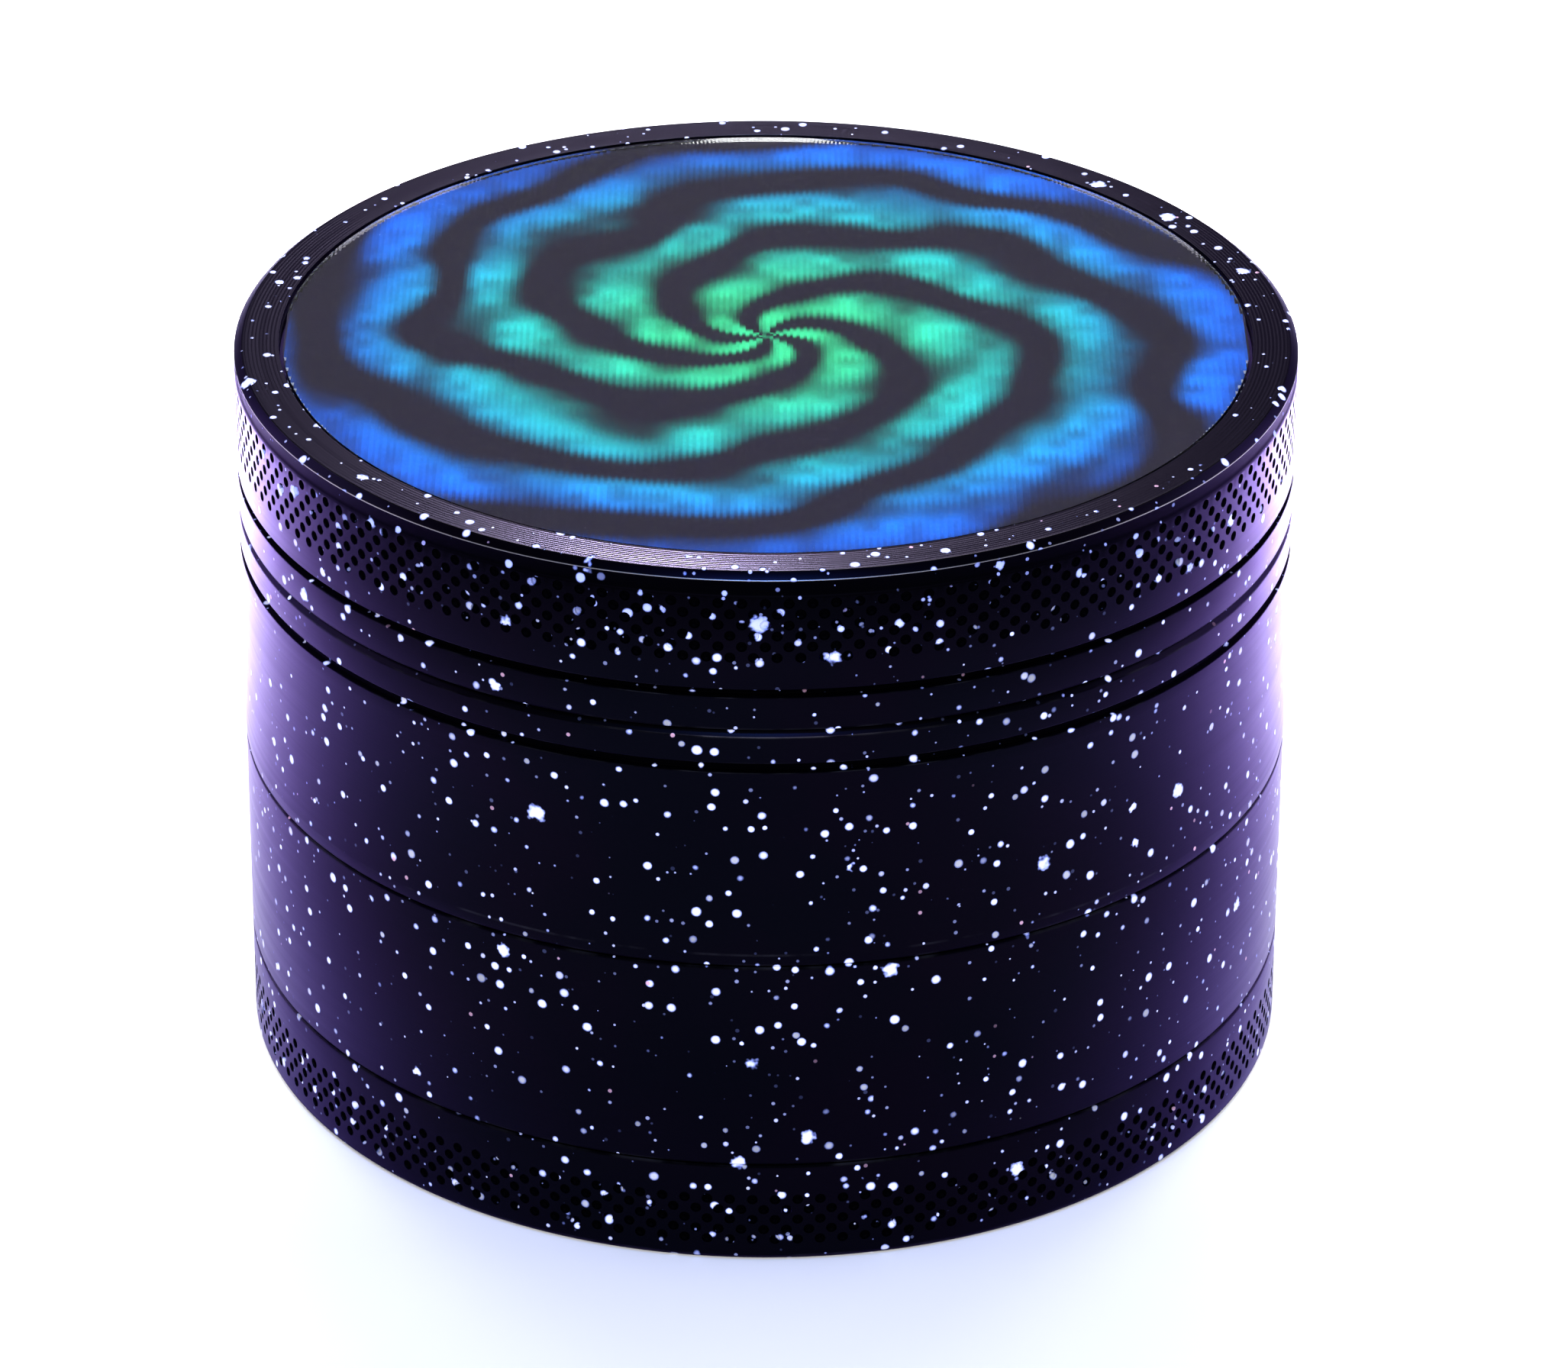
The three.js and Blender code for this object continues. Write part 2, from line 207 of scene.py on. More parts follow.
def knurl(index, first, low, rows, start):
    """Points and faces of a pitted band between the rings first and first + 1, which lie rows * PIT_ROW apart.

    A pit's point k on ring n is at angle (centre + a_n cos k) / R, height centre + a_n sin k, radius R - d_n.
    """
    heights = low + PIT_ROW * np.arange(1, rows)
    middle = np.stack([np.full(rows - 1, BODY_R), heights], 1)
    points = [ring_points(middle)]
    lattice = start + np.arange((rows - 1) * COLUMNS).reshape(rows - 1, COLUMNS)
    lattice = np.vstack([index[first], lattice, index[first + 1]])
    row, place = np.meshgrid(np.arange(rows), np.arange(PITS_ROUND), indexing="ij")
    column = 2 * place + row % 2
    around = np.arange(PIT_SIDES) * 2 * np.pi / PIT_SIDES
    along = np.multiply.outer(PIT_RADII, np.cos(around)) / BODY_R
    up = np.multiply.outer(PIT_RADII, np.sin(around))
    angle = (column * 2 * np.pi / COLUMNS)[..., None, None] + along
    height = (low + PIT_ROW * (row + 0.5))[..., None, None] + up
    radius = (BODY_R - PIT_DEPTHS)[:, None] + 0 * angle
    pits = np.stack([radius * np.cos(angle), radius * np.sin(angle), height], -1)
    points.append(pits.reshape(-1, 3))
    number = start + (rows - 1) * COLUMNS + np.arange(pits.size // 3).reshape(pits.shape[:-1])
    left, right = (column - 1) % COLUMNS, (column + 1) % COLUMNS
    border = [(row, right), (row + 1, right), (row + 1, column), (row + 1, left), (row, left), (row, column)]
    border = [lattice[where] for where in border]
    rim = number[:, :, 0]
    faces = []
    for side in range(6):
        corners = [border[side], border[(side + 1) % 6]]
        corners += [rim[..., (2 * side + k) % PIT_SIDES] for k in (1, 0, -1)]
        faces.append(np.stack(corners, -1).reshape(-1, 5))
    for depth in range(len(PIT_RADII) - 1):
        outer = number[:, :, depth].reshape(-1, PIT_SIDES)
        inner = number[:, :, depth + 1].reshape(-1, PIT_SIDES)
        faces.append(bands(outer, inner))
    faces.append(number[:, :, -1].reshape(-1, PIT_SIDES))
    return np.vstack(points), faces


# %% [markdown]
# ## Joining surfaces into pieces
# A piece is often several surfaces that meet: walls, floor, teeth, thread. They are collected as (points,
# edge values, faces) and joined in one mesh. Points that coincide are welded, so seams are closed.

# %% From arrays to objects
WELD = 1e-4


def joined(parts):
    """Several (points, edge values, faces) as one, with coinciding points welded."""
    points, edges, faces, start = [], [], [], 0
    for part_points, part_edges, part_faces in parts:
        points.append(part_points)
        edges.append(part_edges)
        faces += [f + start for f in part_faces]
        start += len(part_points)
    points, edges = np.vstack(points), np.concatenate(edges)
    keys = np.round(points / WELD).astype(np.int64)
    _, first, number = np.unique(keys, axis=0, return_index=True, return_inverse=True)
    number = number.reshape(-1)
    return points[first], edges[first], [number[f] for f in faces]


def make_object(name, points, faces, smooth_angle=32.0, **values):
    """A mesh object from millimetre points and face arrays; values become point attributes."""
    mesh = bpy.data.meshes.new(name)
    mesh.from_pydata((points * MM).tolist(), [], [f for group in faces for f in group.tolist()])
    for key, value in values.items():
        attribute = mesh.attributes.new(key, "FLOAT", "POINT")
        attribute.data.foreach_set("value", np.asarray(value, np.float32))
    mesh.polygons.foreach_set("use_smooth", np.ones(len(mesh.polygons), bool))
    mesh.set_sharp_from_angle(angle=math.radians(smooth_angle))
    mesh.validate()
    obj = bpy.data.objects.new(name, mesh)
    bpy.context.scene.collection.objects.link(obj)
    triangles = sum(len(p.vertices) - 2 for p in mesh.polygons)
    print(f"{name}: {len(mesh.vertices)} points, {triangles} triangles")
    return obj


def metal_object(name, parts):
    """A coated metal piece.

    The attribute paint is 1 where the speckle was sprayed, on the outside walls and the rim. The attribute
    sunk is 1 at the bottom of a pit, a groove or a seam's edge, where shade is painted into the coat's colour,
    and 0 on the walls, in the shallow waist and on the chamber's shoulder.
    """
    points, edges, faces = joined(parts)
    radius, z = np.hypot(points[:, 0], points[:, 1]), points[:, 2]
    sprayed = (radius > BODY_R - 0.9) | ((z > HEIGHT - 0.05) & (radius > RECESS_R - 0.01))
    below = BODY_R - radius
    in_waist = (z > LIP) & (z < CHAMBER_GROOVE[0] - CHAMBER_GROOVE[1] - 0.06)
    on_shoulder = (z > SHOULDER - 0.45) & (z < SHOULDER + 0.01)
    sunk = np.clip(below / 0.014, 0, 1) * (below < 0.9) * (z < RIM_LOW) * ~in_waist * ~on_shoulder
    return make_object(name, points, faces, edge=edges, paint=sprayed, sunk=sunk)


def settle(obj, body, slot, material, *nodes):
    """Gives a finished piece its material and its body, and hides the CAD nodes that it stands for; its slot
    argument is not used.
    """
    obj.data.materials.append(material)
    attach(obj, body)
    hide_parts(*nodes)
    return obj


# %% [markdown]
# ## Shader building blocks
# Effects that several finishes share are node groups: the sprayed speckle, the fine lines that the turning
# tool leaves, and the wear along edges. A small helper keeps the node code readable.

# %% Node helper
class Tree:
    """Adds nodes to one tree; an input may be a socket to link or a plain value."""

    def __init__(self, tree):
        self.tree = tree

    def node(self, kind, settings=None, **inputs):
        made = self.tree.nodes.new(kind)
        for key, value in (settings or {}).items():
            setattr(made, key, value)
        for key, value in inputs.items():
            self.feed(made.inputs[key.replace("_", " ")], value)
        return made

    def feed(self, socket, value):
        if isinstance(value, bpy.types.NodeSocket):
            self.tree.links.new(value, socket)
        else:
            socket.default_value = value

    def math(self, operation, a, b=0.0, clamp=False):
        made = self.tree.nodes.new("ShaderNodeMath")
        made.operation = operation
        made.use_clamp = clamp
        self.feed(made.inputs[0], a)
        self.feed(made.inputs[1], b)
        return made.outputs[0]

    def ramp(self, value, low, high, to_low=0.0, to_high=1.0):
        """Maps a value smoothly from low..high to to_low..to_high."""
        made = self.node(
            "ShaderNodeMapRange",
            {"interpolation_type": "SMOOTHSTEP"},
            Value=value, From_Min=low, From_Max=high, To_Min=to_low, To_Max=to_high,
        )
        return made.outputs["Result"]

    def blend(self, share, a, b):
        """Colour a where share is 0, colour b where it is 1."""
        made = self.tree.nodes.new("ShaderNodeMix")
        made.data_type = "RGBA"
        self.feed(made.inputs[0], share)
        self.feed(made.inputs[6], a)
        self.feed(made.inputs[7], b)
        return made.outputs[2]

    def place(self, scale):
        """Object coordinates times a scale."""
        coordinates = self.tree.nodes.new("ShaderNodeTexCoord").outputs["Object"]
        made = self.tree.nodes.new("ShaderNodeVectorMath")
        made.operation = "SCALE"
        self.feed(made.inputs[0], coordinates)
        self.feed(made.inputs["Scale"], scale)
        return made.outputs[0]

    def nodes_sum(self, a, b):
        """The sum of two vectors."""
        made = self.tree.nodes.new("ShaderNodeVectorMath")
        made.operation = "ADD"
        self.feed(made.inputs[0], a)
        self.feed(made.inputs[1], b)
        return made.outputs[0]

    def noise(self, scale, detail=2.0, vector=None):
        """Soft noise in Object coordinates, scale in features a metre."""
        where = vector or self.place(scale)
        return self.node("ShaderNodeTexNoise", Vector=where, Scale=1.0, Detail=detail).outputs["Fac"]

    def attribute(self, name):
        return self.node("ShaderNodeAttribute", {"attribute_name": name}).outputs["Fac"]


def new_group(name, inputs, outputs):
    """An empty shader group with named float inputs and (name, type) outputs."""
    group = bpy.data.node_groups.new(name, "ShaderNodeTree")
    for label, value in inputs.items():
        made = group.interface.new_socket(label, in_out="INPUT", socket_type="NodeSocketFloat")
        made.default_value = value
    for label, kind in outputs.items():
        group.interface.new_socket(label, in_out="OUTPUT", socket_type=f"NodeSocket{kind}")
    tree = Tree(group)
    return tree, group.nodes.new("NodeGroupInput").outputs, group.nodes.new("NodeGroupOutput").inputs


def use_group(tree, name, **inputs):
    made = tree.tree.nodes.new("ShaderNodeGroup")
    made.node_tree = bpy.data.node_groups[name]
    for key, value in inputs.items():
        tree.feed(made.inputs[key.replace("_", " ")], value)
    return made.outputs


# %% [markdown]
# ### Speckle
# The white dots are paint flicked from a brush or spat from a spray gun: drops of many sizes, mostly a sixth
# of a millimetre across. A 3-D Voronoi pattern gives them: each cell holds one drop, a ball round the cell's
# point, and the metal's surface cuts the balls in circles. Each cell's random colour decides the drop's size,
# how thin its paint is, and whether there is a drop at all.

# %% Speckle group
tree, given, out = new_group(
    "paint_drops",
    {"Cell": 0.8, "Radius": 0.1, "Share": 0.8, "Wobble": 0.0},
    {"Mask": "Float", "Core": "Float", "Tone": "Float", "Hue": "Float"},
)
per_cell = tree.math("DIVIDE", 1.0 / MM, given["Cell"])
ragged = tree.node("ShaderNodeTexNoise", Vector=tree.place(2600.0), Scale=1.0, Detail=1.0).outputs["Color"]
wobble = tree.node("ShaderNodeVectorMath", {"operation": "SCALE"}, Vector=ragged, Scale=given["Wobble"])
moved = tree.nodes_sum(tree.place(per_cell), wobble.outputs[0])
cells = tree.node("ShaderNodeTexVoronoi", Vector=moved, Scale=1.0)
chance = tree.node("ShaderNodeSeparateColor", Color=cells.outputs["Color"]).outputs
size = tree.math("DIVIDE", given["Radius"], given["Cell"])
size = tree.math("MULTIPLY", size, tree.math("ADD", 0.45, tree.math("MULTIPLY", chance[0], 0.55)))
inside = tree.math("SUBTRACT", 1.0, tree.math("DIVIDE", cells.outputs["Distance"], size))
present = tree.math("LESS_THAN", chance[1], given["Share"])
tree.feed(out["Mask"], tree.math("MULTIPLY", tree.ramp(inside, 0.0, 0.25), present))
tree.feed(out["Core"], tree.ramp(inside, 0.08, 0.5))
tree.feed(out["Tone"], chance[2])
tree.feed(out["Hue"], chance[0])

# %% [markdown]
# ### Turning lines
# The tool's feed leaves a fine spiral that is read as lines round every wall and as rings on every face. The
# lines are noise in (radius, height), which hardly changes round the axis.

# %% Turning lines group
tree, given, out = new_group("turning_lines", {"Lines per mm": 9.0}, {"Height": "Float", "Tone": "Float"})
where = tree.node("ShaderNodeSeparateXYZ", Vector=tree.place(1.0 / MM)).outputs
squares = [tree.math("MULTIPLY", where[axis], where[axis]) for axis in (0, 1)]
radius = tree.math("SQRT", tree.math("ADD", *squares))
fine = [tree.math("MULTIPLY", value, given["Lines per mm"]) for value in (radius, where[2])]
drift = tree.math("MULTIPLY", where[0], 0.06)
spiral = tree.node("ShaderNodeCombineXYZ", X=fine[0], Y=fine[1], Z=drift).outputs[0]
tree.feed(out["Height"], tree.noise(1.0, 1.0, spiral))
coarse = tree.node("ShaderNodeVectorMath", {"operation": "SCALE"}, Vector=spiral)
coarse.inputs["Scale"].default_value = 0.31
tree.feed(out["Tone"], tree.noise(1.0, 3.0, coarse.outputs[0]))

# %% [markdown]
# ### Edge wear
# Hands and pockets rub a coat thin on its outward rounds. The meshes carry an edge value there, and noise
# breaks it up, so that the wear comes and goes along an edge.

# %% Edge wear group
tree, given, out = new_group("edge_wear", {"Amount": 0.5, "Patch size": 3.0}, {"Mask": "Float"})
patches = tree.noise(tree.math("DIVIDE", 1.0 / MM, given["Patch size"]), 4.0)
worn = tree.math("MULTIPLY", tree.attribute("edge"), tree.ramp(patches, 0.42, 0.7))
tree.feed(out["Mask"], tree.math("MULTIPLY", worn, given["Amount"], clamp=True))

# %% [markdown]
# ## Finishes
# Each finish is a Principled shader with its own sockets set plainly. What varies over the surface comes
# from the groups.


# %% Material helper
def new_material(name, **plain):
    """A material with a Principled shader; plain values go on its sockets."""
    material = bpy.data.materials.new(name)
    material.use_nodes = True
    tree = Tree(material.node_tree)
    shader = material.node_tree.nodes["Principled BSDF"]
    for key, value in plain.items():
        shader.inputs[key.replace("_", " ")].default_value = value
    return material, tree, shader.inputs


def bump(tree, height, distance, strength=1.0, normal=None):
    """A bump from a height of 0..1 and its depth in metres."""
    made = tree.node("ShaderNodeBump", Height=height, Distance=distance, Strength=strength)
    if normal:
        tree.feed(made.inputs["Normal"], normal)
    return made.outputs[0]


# %% [markdown]
# ### Coated metal
# The bodies are aluminium under a black coat with an indigo cast: nearly black head on, violet and then pale
# towards grazing angles. A metallic shader with a very dark blue base and a lavender edge tint behaves like
# that. The drops of paint are not metal, so the speckle mask also takes the metallic value away. In the
# knurl's pits, the grooves, the neck under the rim and the seams' edges the coat pools matt, and painted shade
# makes them near black; painted shade also darkens the wall and its drops below the rim, darkest just under
# it. The faced rim is a little brighter and smoother, and a thin painted highlight runs along its lower lip.

# %% Coated metal
COAT = (0.0019, 0.0020, 0.0042, 1.0)
COAT_WARM = (0.0027, 0.0019, 0.0048, 1.0)
COAT_RIM = (0.020, 0.019, 0.020, 1.0)
# Painted highlight: the colour of a thin bright line along the rim's lower lip
LIP_PAINTED_HIGHLIGHT = (0.30, 0.29, 0.30, 1.0)
COAT_EDGE = (0.70, 0.62, 1.0, 1.0)
BARE_METAL = (0.10, 0.10, 0.13, 1.0)
DROP_WHITE = (0.90, 0.92, 1.0, 1.0)
DROP_HALO = (0.30, 0.38, 0.95, 1.0)
DROP_PINK = (0.75, 0.42, 0.55, 1.0)
# Painted shade: the near-black colour given to pits, grooves, the neck, seam edges and the wall under the rim
PAINTED_SHADE_BLACK = (0.0006, 0.0006, 0.0012, 1.0)
SHADE_DEPTH = 5.5


def drops(tree):
    """All the speckle: mist, common drops and a few large blobs, as (mask, colour)."""
    mist = use_group(tree, "paint_drops", Cell=0.74, Radius=0.15, Share=0.6, Wobble=0.0)
    common = use_group(tree, "paint_drops", Cell=1.26, Radius=0.34, Share=0.88, Wobble=0.05)
    blobs = use_group(tree, "paint_drops", Cell=4.2, Radius=0.6, Share=0.8, Wobble=0.12)
    thin = tree.math("MULTIPLY", mist["Mask"], tree.ramp(mist["Tone"], 0.0, 0.9, 0.05, 0.75))
    thick = tree.math("MULTIPLY", common["Mask"], tree.ramp(common["Tone"], 0.0, 0.6, 0.35, 1.0))
    big = tree.math("MAXIMUM", thick, blobs["Mask"])
    mask = tree.math("MULTIPLY", tree.math("MAXIMUM", thin, big), tree.attribute("paint"))
    core = tree.math("MAXIMUM", common["Core"], blobs["Core"])
    core = tree.math("MAXIMUM", core, tree.math("MULTIPLY", mist["Core"], mist["Tone"]))
    pink = tree.math("MULTIPLY", tree.math("GREATER_THAN", mist["Hue"], 0.965), mist["Mask"])
    return mask, tree.blend(pink, tree.blend(core, DROP_HALO, DROP_WHITE), DROP_PINK)


def coated_metal():
    material, tree, shader = new_material("coated_metal", Specular_Tint=COAT_EDGE)
    mask, drop_colour = drops(tree)
    lines = use_group(tree, "turning_lines", Lines_per_mm=9.0)
    wear = use_group(tree, "edge_wear", Amount=0.1, Patch_size=2.5)["Mask"]
    sunk = tree.attribute("sunk")
    height = tree.node("ShaderNodeSeparateXYZ", Vector=tree.place(1.0 / MM)).outputs[2]
    # Painted shade under the rim: full from the rim's lower lip down 1.5 mm, fading out 5.5 mm below it
    shaded = tree.ramp(height, RIM_LOW - SHADE_DEPTH, RIM_LOW - 1.5)
    shaded = tree.math("MULTIPLY", shaded, tree.ramp(height, RIM_LOW, RIM_LOW + 0.1, 1.0, 0.0))
    on_rim = tree.ramp(height, HEIGHT - 0.05, HEIGHT - 0.01)
    colour = tree.blend(tree.ramp(tree.noise(90.0, 3.0), 0.35, 0.7), COAT, COAT_WARM)
    # Painted shade: pits, grooves, the neck and seam edges turn near black, and the wall under the rim darkens
    colour = tree.blend(tree.math("MAXIMUM", sunk, tree.math("MULTIPLY", shaded, 0.7)), colour, PAINTED_SHADE_BLACK)
    colour = tree.blend(wear, tree.blend(on_rim, colour, COAT_RIM), BARE_METAL)
    # Painted highlight: a thin bright line along the rim's lower lip
    lip = tree.ramp(tree.math("ABSOLUTE", tree.math("SUBTRACT", height, RIM_LOW)), 0.0, 0.05, 1.0, 0.0)
    colour = tree.blend(lip, colour, LIP_PAINTED_HIGHLIGHT)
    # Painted shade on the drops under the rim: they turn towards the darker blue halo colour
    drop_colour = tree.blend(tree.math("MULTIPLY", shaded, 0.8), drop_colour, DROP_HALO)
    tree.feed(shader["Base Color"], tree.blend(mask, colour, drop_colour))
    tree.feed(shader["Metallic"], tree.math("SUBTRACT", 1.0, mask))
    satin = tree.math("ADD", 0.27, tree.math("MULTIPLY", lines["Tone"], 0.12))
    satin = tree.math("ADD", satin, tree.math("MULTIPLY", sunk, 0.35))
    satin = tree.math("SUBTRACT", satin, tree.math("MULTIPLY", on_rim, 0.14))
    tree.feed(shader["Roughness"], tree.math("ADD", satin, tree.math("MULTIPLY", mask, 0.15)))
    cut = bump(tree, lines["Height"], 0.0000018, 0.8)
    tree.feed(shader["Normal"], bump(tree, mask, 0.00003, 0.6, cut))
    return material


COATED_METAL = coated_metal()
print("finish:", COATED_METAL.name)

# %% [markdown]
# ### The small parts' finishes
# Stainless wire, bare aluminium, nickel plate, nylon and the adhesive disc are simple on the real object too:
# each has its base colour, a little variation and the marks of how it was made.


# %% Small finishes
def simple_finish(name, dark, light, rough, metallic, grain, depth, **plain):
    """Two close tones mixed by noise, roughness that follows it, and turning lines as bump."""
    material, tree, shader = new_material(name, Metallic=metallic, **plain)
    tone = tree.noise(grain, 4.0)
    lines = use_group(tree, "turning_lines", Lines_per_mm=7.0)
    tree.feed(shader["Base Color"], tree.blend(tree.ramp(tone, 0.3, 0.7), dark, light))
    varied = tree.math("ADD", rough - 0.06, tree.math("MULTIPLY", lines["Tone"], 0.12))
    tree.feed(shader["Roughness"], varied)
    tree.feed(shader["Normal"], bump(tree, lines["Height"], depth, 0.7))
    return material


STAINLESS_WIRE = simple_finish(
    "stainless_wire", (0.40, 0.40, 0.42, 1), (0.62, 0.62, 0.64, 1), 0.34, 1.0, 900.0, 0.000002)
BARE_ALUMINIUM = simple_finish(
    "bare_aluminium", (0.55, 0.56, 0.58, 1), (0.72, 0.73, 0.75, 1), 0.36, 1.0, 400.0, 0.000004)
NICKEL_PLATE = simple_finish(
    "nickel_plate", (0.66, 0.65, 0.63, 1), (0.78, 0.77, 0.75, 1), 0.14, 1.0, 500.0, 0.000001)
NYLON = simple_finish(
    "nylon", (0.78, 0.77, 0.72, 1), (0.86, 0.85, 0.81, 1), 0.46, 0.0, 700.0, 0.000006, Subsurface_Weight=0.15)
ADHESIVE = simple_finish(
    "adhesive", (0.62, 0.60, 0.54, 1), (0.78, 0.76, 0.70, 1), 0.7, 0.0, 1500.0, 0.00001)

# %% [markdown]
# ## Outer walls
# ### Grooves and seams
# Decorative grooves are parted straight into the wall. One function returns their corners, so that a body's
# outline is one readable list from its bottom edge to its top edge.

# %% Groove corners
SEAM_EDGE = 0.2


def groove(z, half, depth):
    """Corners of a groove on the outer wall, going up."""
    bottom = BODY_R - depth
    return [
        (BODY_R, z - half, 0.07),
        (bottom, z - half + 0.05, 0.05),
        (bottom, z + half - 0.05, 0.05),
        (BODY_R, z + half, 0.07),
    ]


def with_knurl(rings, low, rows):
    """A turned surface with a pitted band from low up; the rings hold a point at each end of the band."""
    heights = rings[:, 1]
    outside = rings[:, 0] > BODY_R - 1e-6
    first = int(np.flatnonzero(outside & (np.abs(heights - low) < 1e-6))[0])
    points, edges, faces, index = turned(rings, skip=(first,))
    band_points, band_faces = knurl(index, first, low, rows, len(points))
    edges = np.concatenate([edges, np.zeros(len(band_points))])
    return np.vstack([points, band_points]), edges, faces + band_faces


# %% [markdown]
# ### Screw threads
# A thread is a ridge wound round a wall: its section is a trapezoid, carried along a helix that climbs one
# pitch a turn. At both ends the ridge sinks into the wall, as a real thread runs out. The chamber and the
# storage chamber wear the ridge outside on their spigots, and it runs between the turns of the ridge inside
# the piece below.

# %% Thread ridge
PITCH = 1.4
SPIGOT_R = 28.7
SPIGOT_CREST_R = 29.45
NUT_R = 29.75
NUT_CREST_R = 28.95
ROOT_W = 0.75
CREST_W = 0.3
PLAY = 0.15
SINK = 0.4
THREAD_START = 0.6
STEPS_A_TURN = 120
RUN_OUT = 0.12


def ridge_width(radius):
    """The spigot ridge's width along the axis at a radius."""
    return ROOT_W - (ROOT_W - CREST_W) * (radius - SPIGOT_R) / (SPIGOT_CREST_R - SPIGOT_R)


def ridge(root, crest, root_w, crest_w, low, first, last):
    """Point (t, section) = (r sin a, -r cos a, low + pitch t + dz), a = 2 pi t, for t from first to last.

    The section runs root, crest, crest, root. The crest falls to the root by a smooth step at both ends.
    """
    t = np.linspace(first, last, int(STEPS_A_TURN * (last - first)))[:, None]
    fade = np.clip(np.minimum(t - first, last - t) / RUN_OUT, 0, 1)
    fade = fade * fade * (3 - 2 * fade)
    r = root + (crest - root) * np.array([0, 0.97, 1, 1, 0.97, 0]) * fade
    half = np.array([-root_w, -crest_w - 0.1, -crest_w + 0.1, crest_w - 0.1, crest_w + 0.1, root_w]) / 2
    angle = 2 * np.pi * t
    z = low + PITCH * t + half
    if crest < root:
        r, z = r[:, ::-1], z[:, ::-1]
    points = np.stack([r * np.sin(angle), -r * np.cos(angle), z], 2).reshape(-1, 3)
    index = np.arange(len(points)).reshape(r.shape)
    faces = [bands(index[1:], index[:-1]), index[:1], index[-1:, ::-1]]
    edges = np.tile([0.0, 0.6, 1.0, 1.0, 0.6, 0.0], len(t))
    return points, edges, faces


def spigot_thread(spigot_low, turns):
    root = SPIGOT_R - SINK
    return ridge(root, SPIGOT_CREST_R, ridge_width(root), CREST_W, spigot_low + THREAD_START, 0, turns)


def nut_thread(spigot_low, first, last):
    root = NUT_R + SINK
    widths = [PITCH - ridge_width(r) - 2 * PLAY for r in (root, NUT_CREST_R)]
    return ridge(root, NUT_CREST_R, *widths, spigot_low + THREAD_START + PITCH / 2, first, last)


# %% [markdown]
# ### Teeth and floor holes
# A tooth is a diamond post, long side along its ring, milled with a slight taper and a broken tip. Its
# outline is |x/a|^n + |y/b|^n = 1 with n a little above 1, which is a diamond with softened corners.

# %% Diamond teeth
TOOTH_LENGTH = 3.8
TOOTH_WIDTH = 2.2
TOOTH_HEIGHT = 8.4
TOOTH_SINK = 0.6
TOOTH_SIDES = 28
DIAMOND_POWER = 1.12
TOOTH_TIP = TOOTH_HEIGHT - 0.15
# each level is a height above the root and the outline's size there
TOOTH_LEVELS = np.array([
    [-TOOTH_SINK, 1.0], [0.0, 1.0], [0.25, 0.97], [7.9, 0.735], [TOOTH_TIP, 0.70], [TOOTH_HEIGHT, 0.6],
])


def tooth(low, up):
    """Point (level, k) = size_level * outline_k, standing on z = low or hanging from it."""
    angle = (np.arange(TOOTH_SIDES) + 0.5) * 2 * np.pi / TOOTH_SIDES
    power = 2 / DIAMOND_POWER
    x = TOOTH_WIDTH / 2 * np.sign(np.cos(angle)) * np.abs(np.cos(angle)) ** power
    y = TOOTH_LENGTH / 2 * np.sign(np.sin(angle)) * np.abs(np.sin(angle)) ** power
    height, share = TOOTH_LEVELS[:, :1], TOOTH_LEVELS[:, 1:]
    z = low + (height if up else -height)
    points = np.stack([share * x, share * y, z + 0 * x], 2)
    index = np.arange(len(TOOTH_LEVELS) * TOOTH_SIDES).reshape(-1, TOOTH_SIDES)
    edges = np.repeat([0.0, 0.0, 0.0, 0.3, 1.0, 1.0], TOOTH_SIDES)
    if not up:
        points, edges = points[::-1], edges[::-1]
    faces = [bands(index[:-1], index[1:]), index[:1, ::-1], index[-1:]]
    return points.reshape(-1, 3), edges, faces


def around(rings, offset, make):
    """Copies of one part on rings of (radius, count), each turned into its place."""
    base, edges, faces = make
    placed = []
    for radius, count in rings:
        for i in range(count):
            angle = (i + offset) / count * 2 * math.pi
            c, s = math.cos(angle), math.sin(angle)
            x, y = base[:, 0] + radius, base[:, 1]
            points = np.stack([c * x - s * y, s * x + c * y, base[:, 2]], 1)
            placed.append((points, edges, faces))
    return placed


# %% [markdown]
# The chamber's floor is drilled, and the drill's edges are broken above and below. A flat plate with round
# holes is not a grid, so a constrained Delaunay triangulation fills the floor between the outlines.

# %% Drilled floor
HOLE_SIDES = 32
HOLE_EDGE = 0.18


def circle(radius, z, sides, centre=(0.0, 0.0)):
    angle = np.arange(sides) * 2 * np.pi / sides
    x, y = centre[0] + radius * np.cos(angle), centre[1] + radius * np.sin(angle)
    return np.stack([x, y, np.full(sides, z)], 1)


def hole_centres():
    places = [(r, (i / n) * 2 * math.pi) for r, n in LID_RINGS for i in range(n)]
    return np.array([[r * math.cos(a), r * math.sin(a)] for r, a in places])


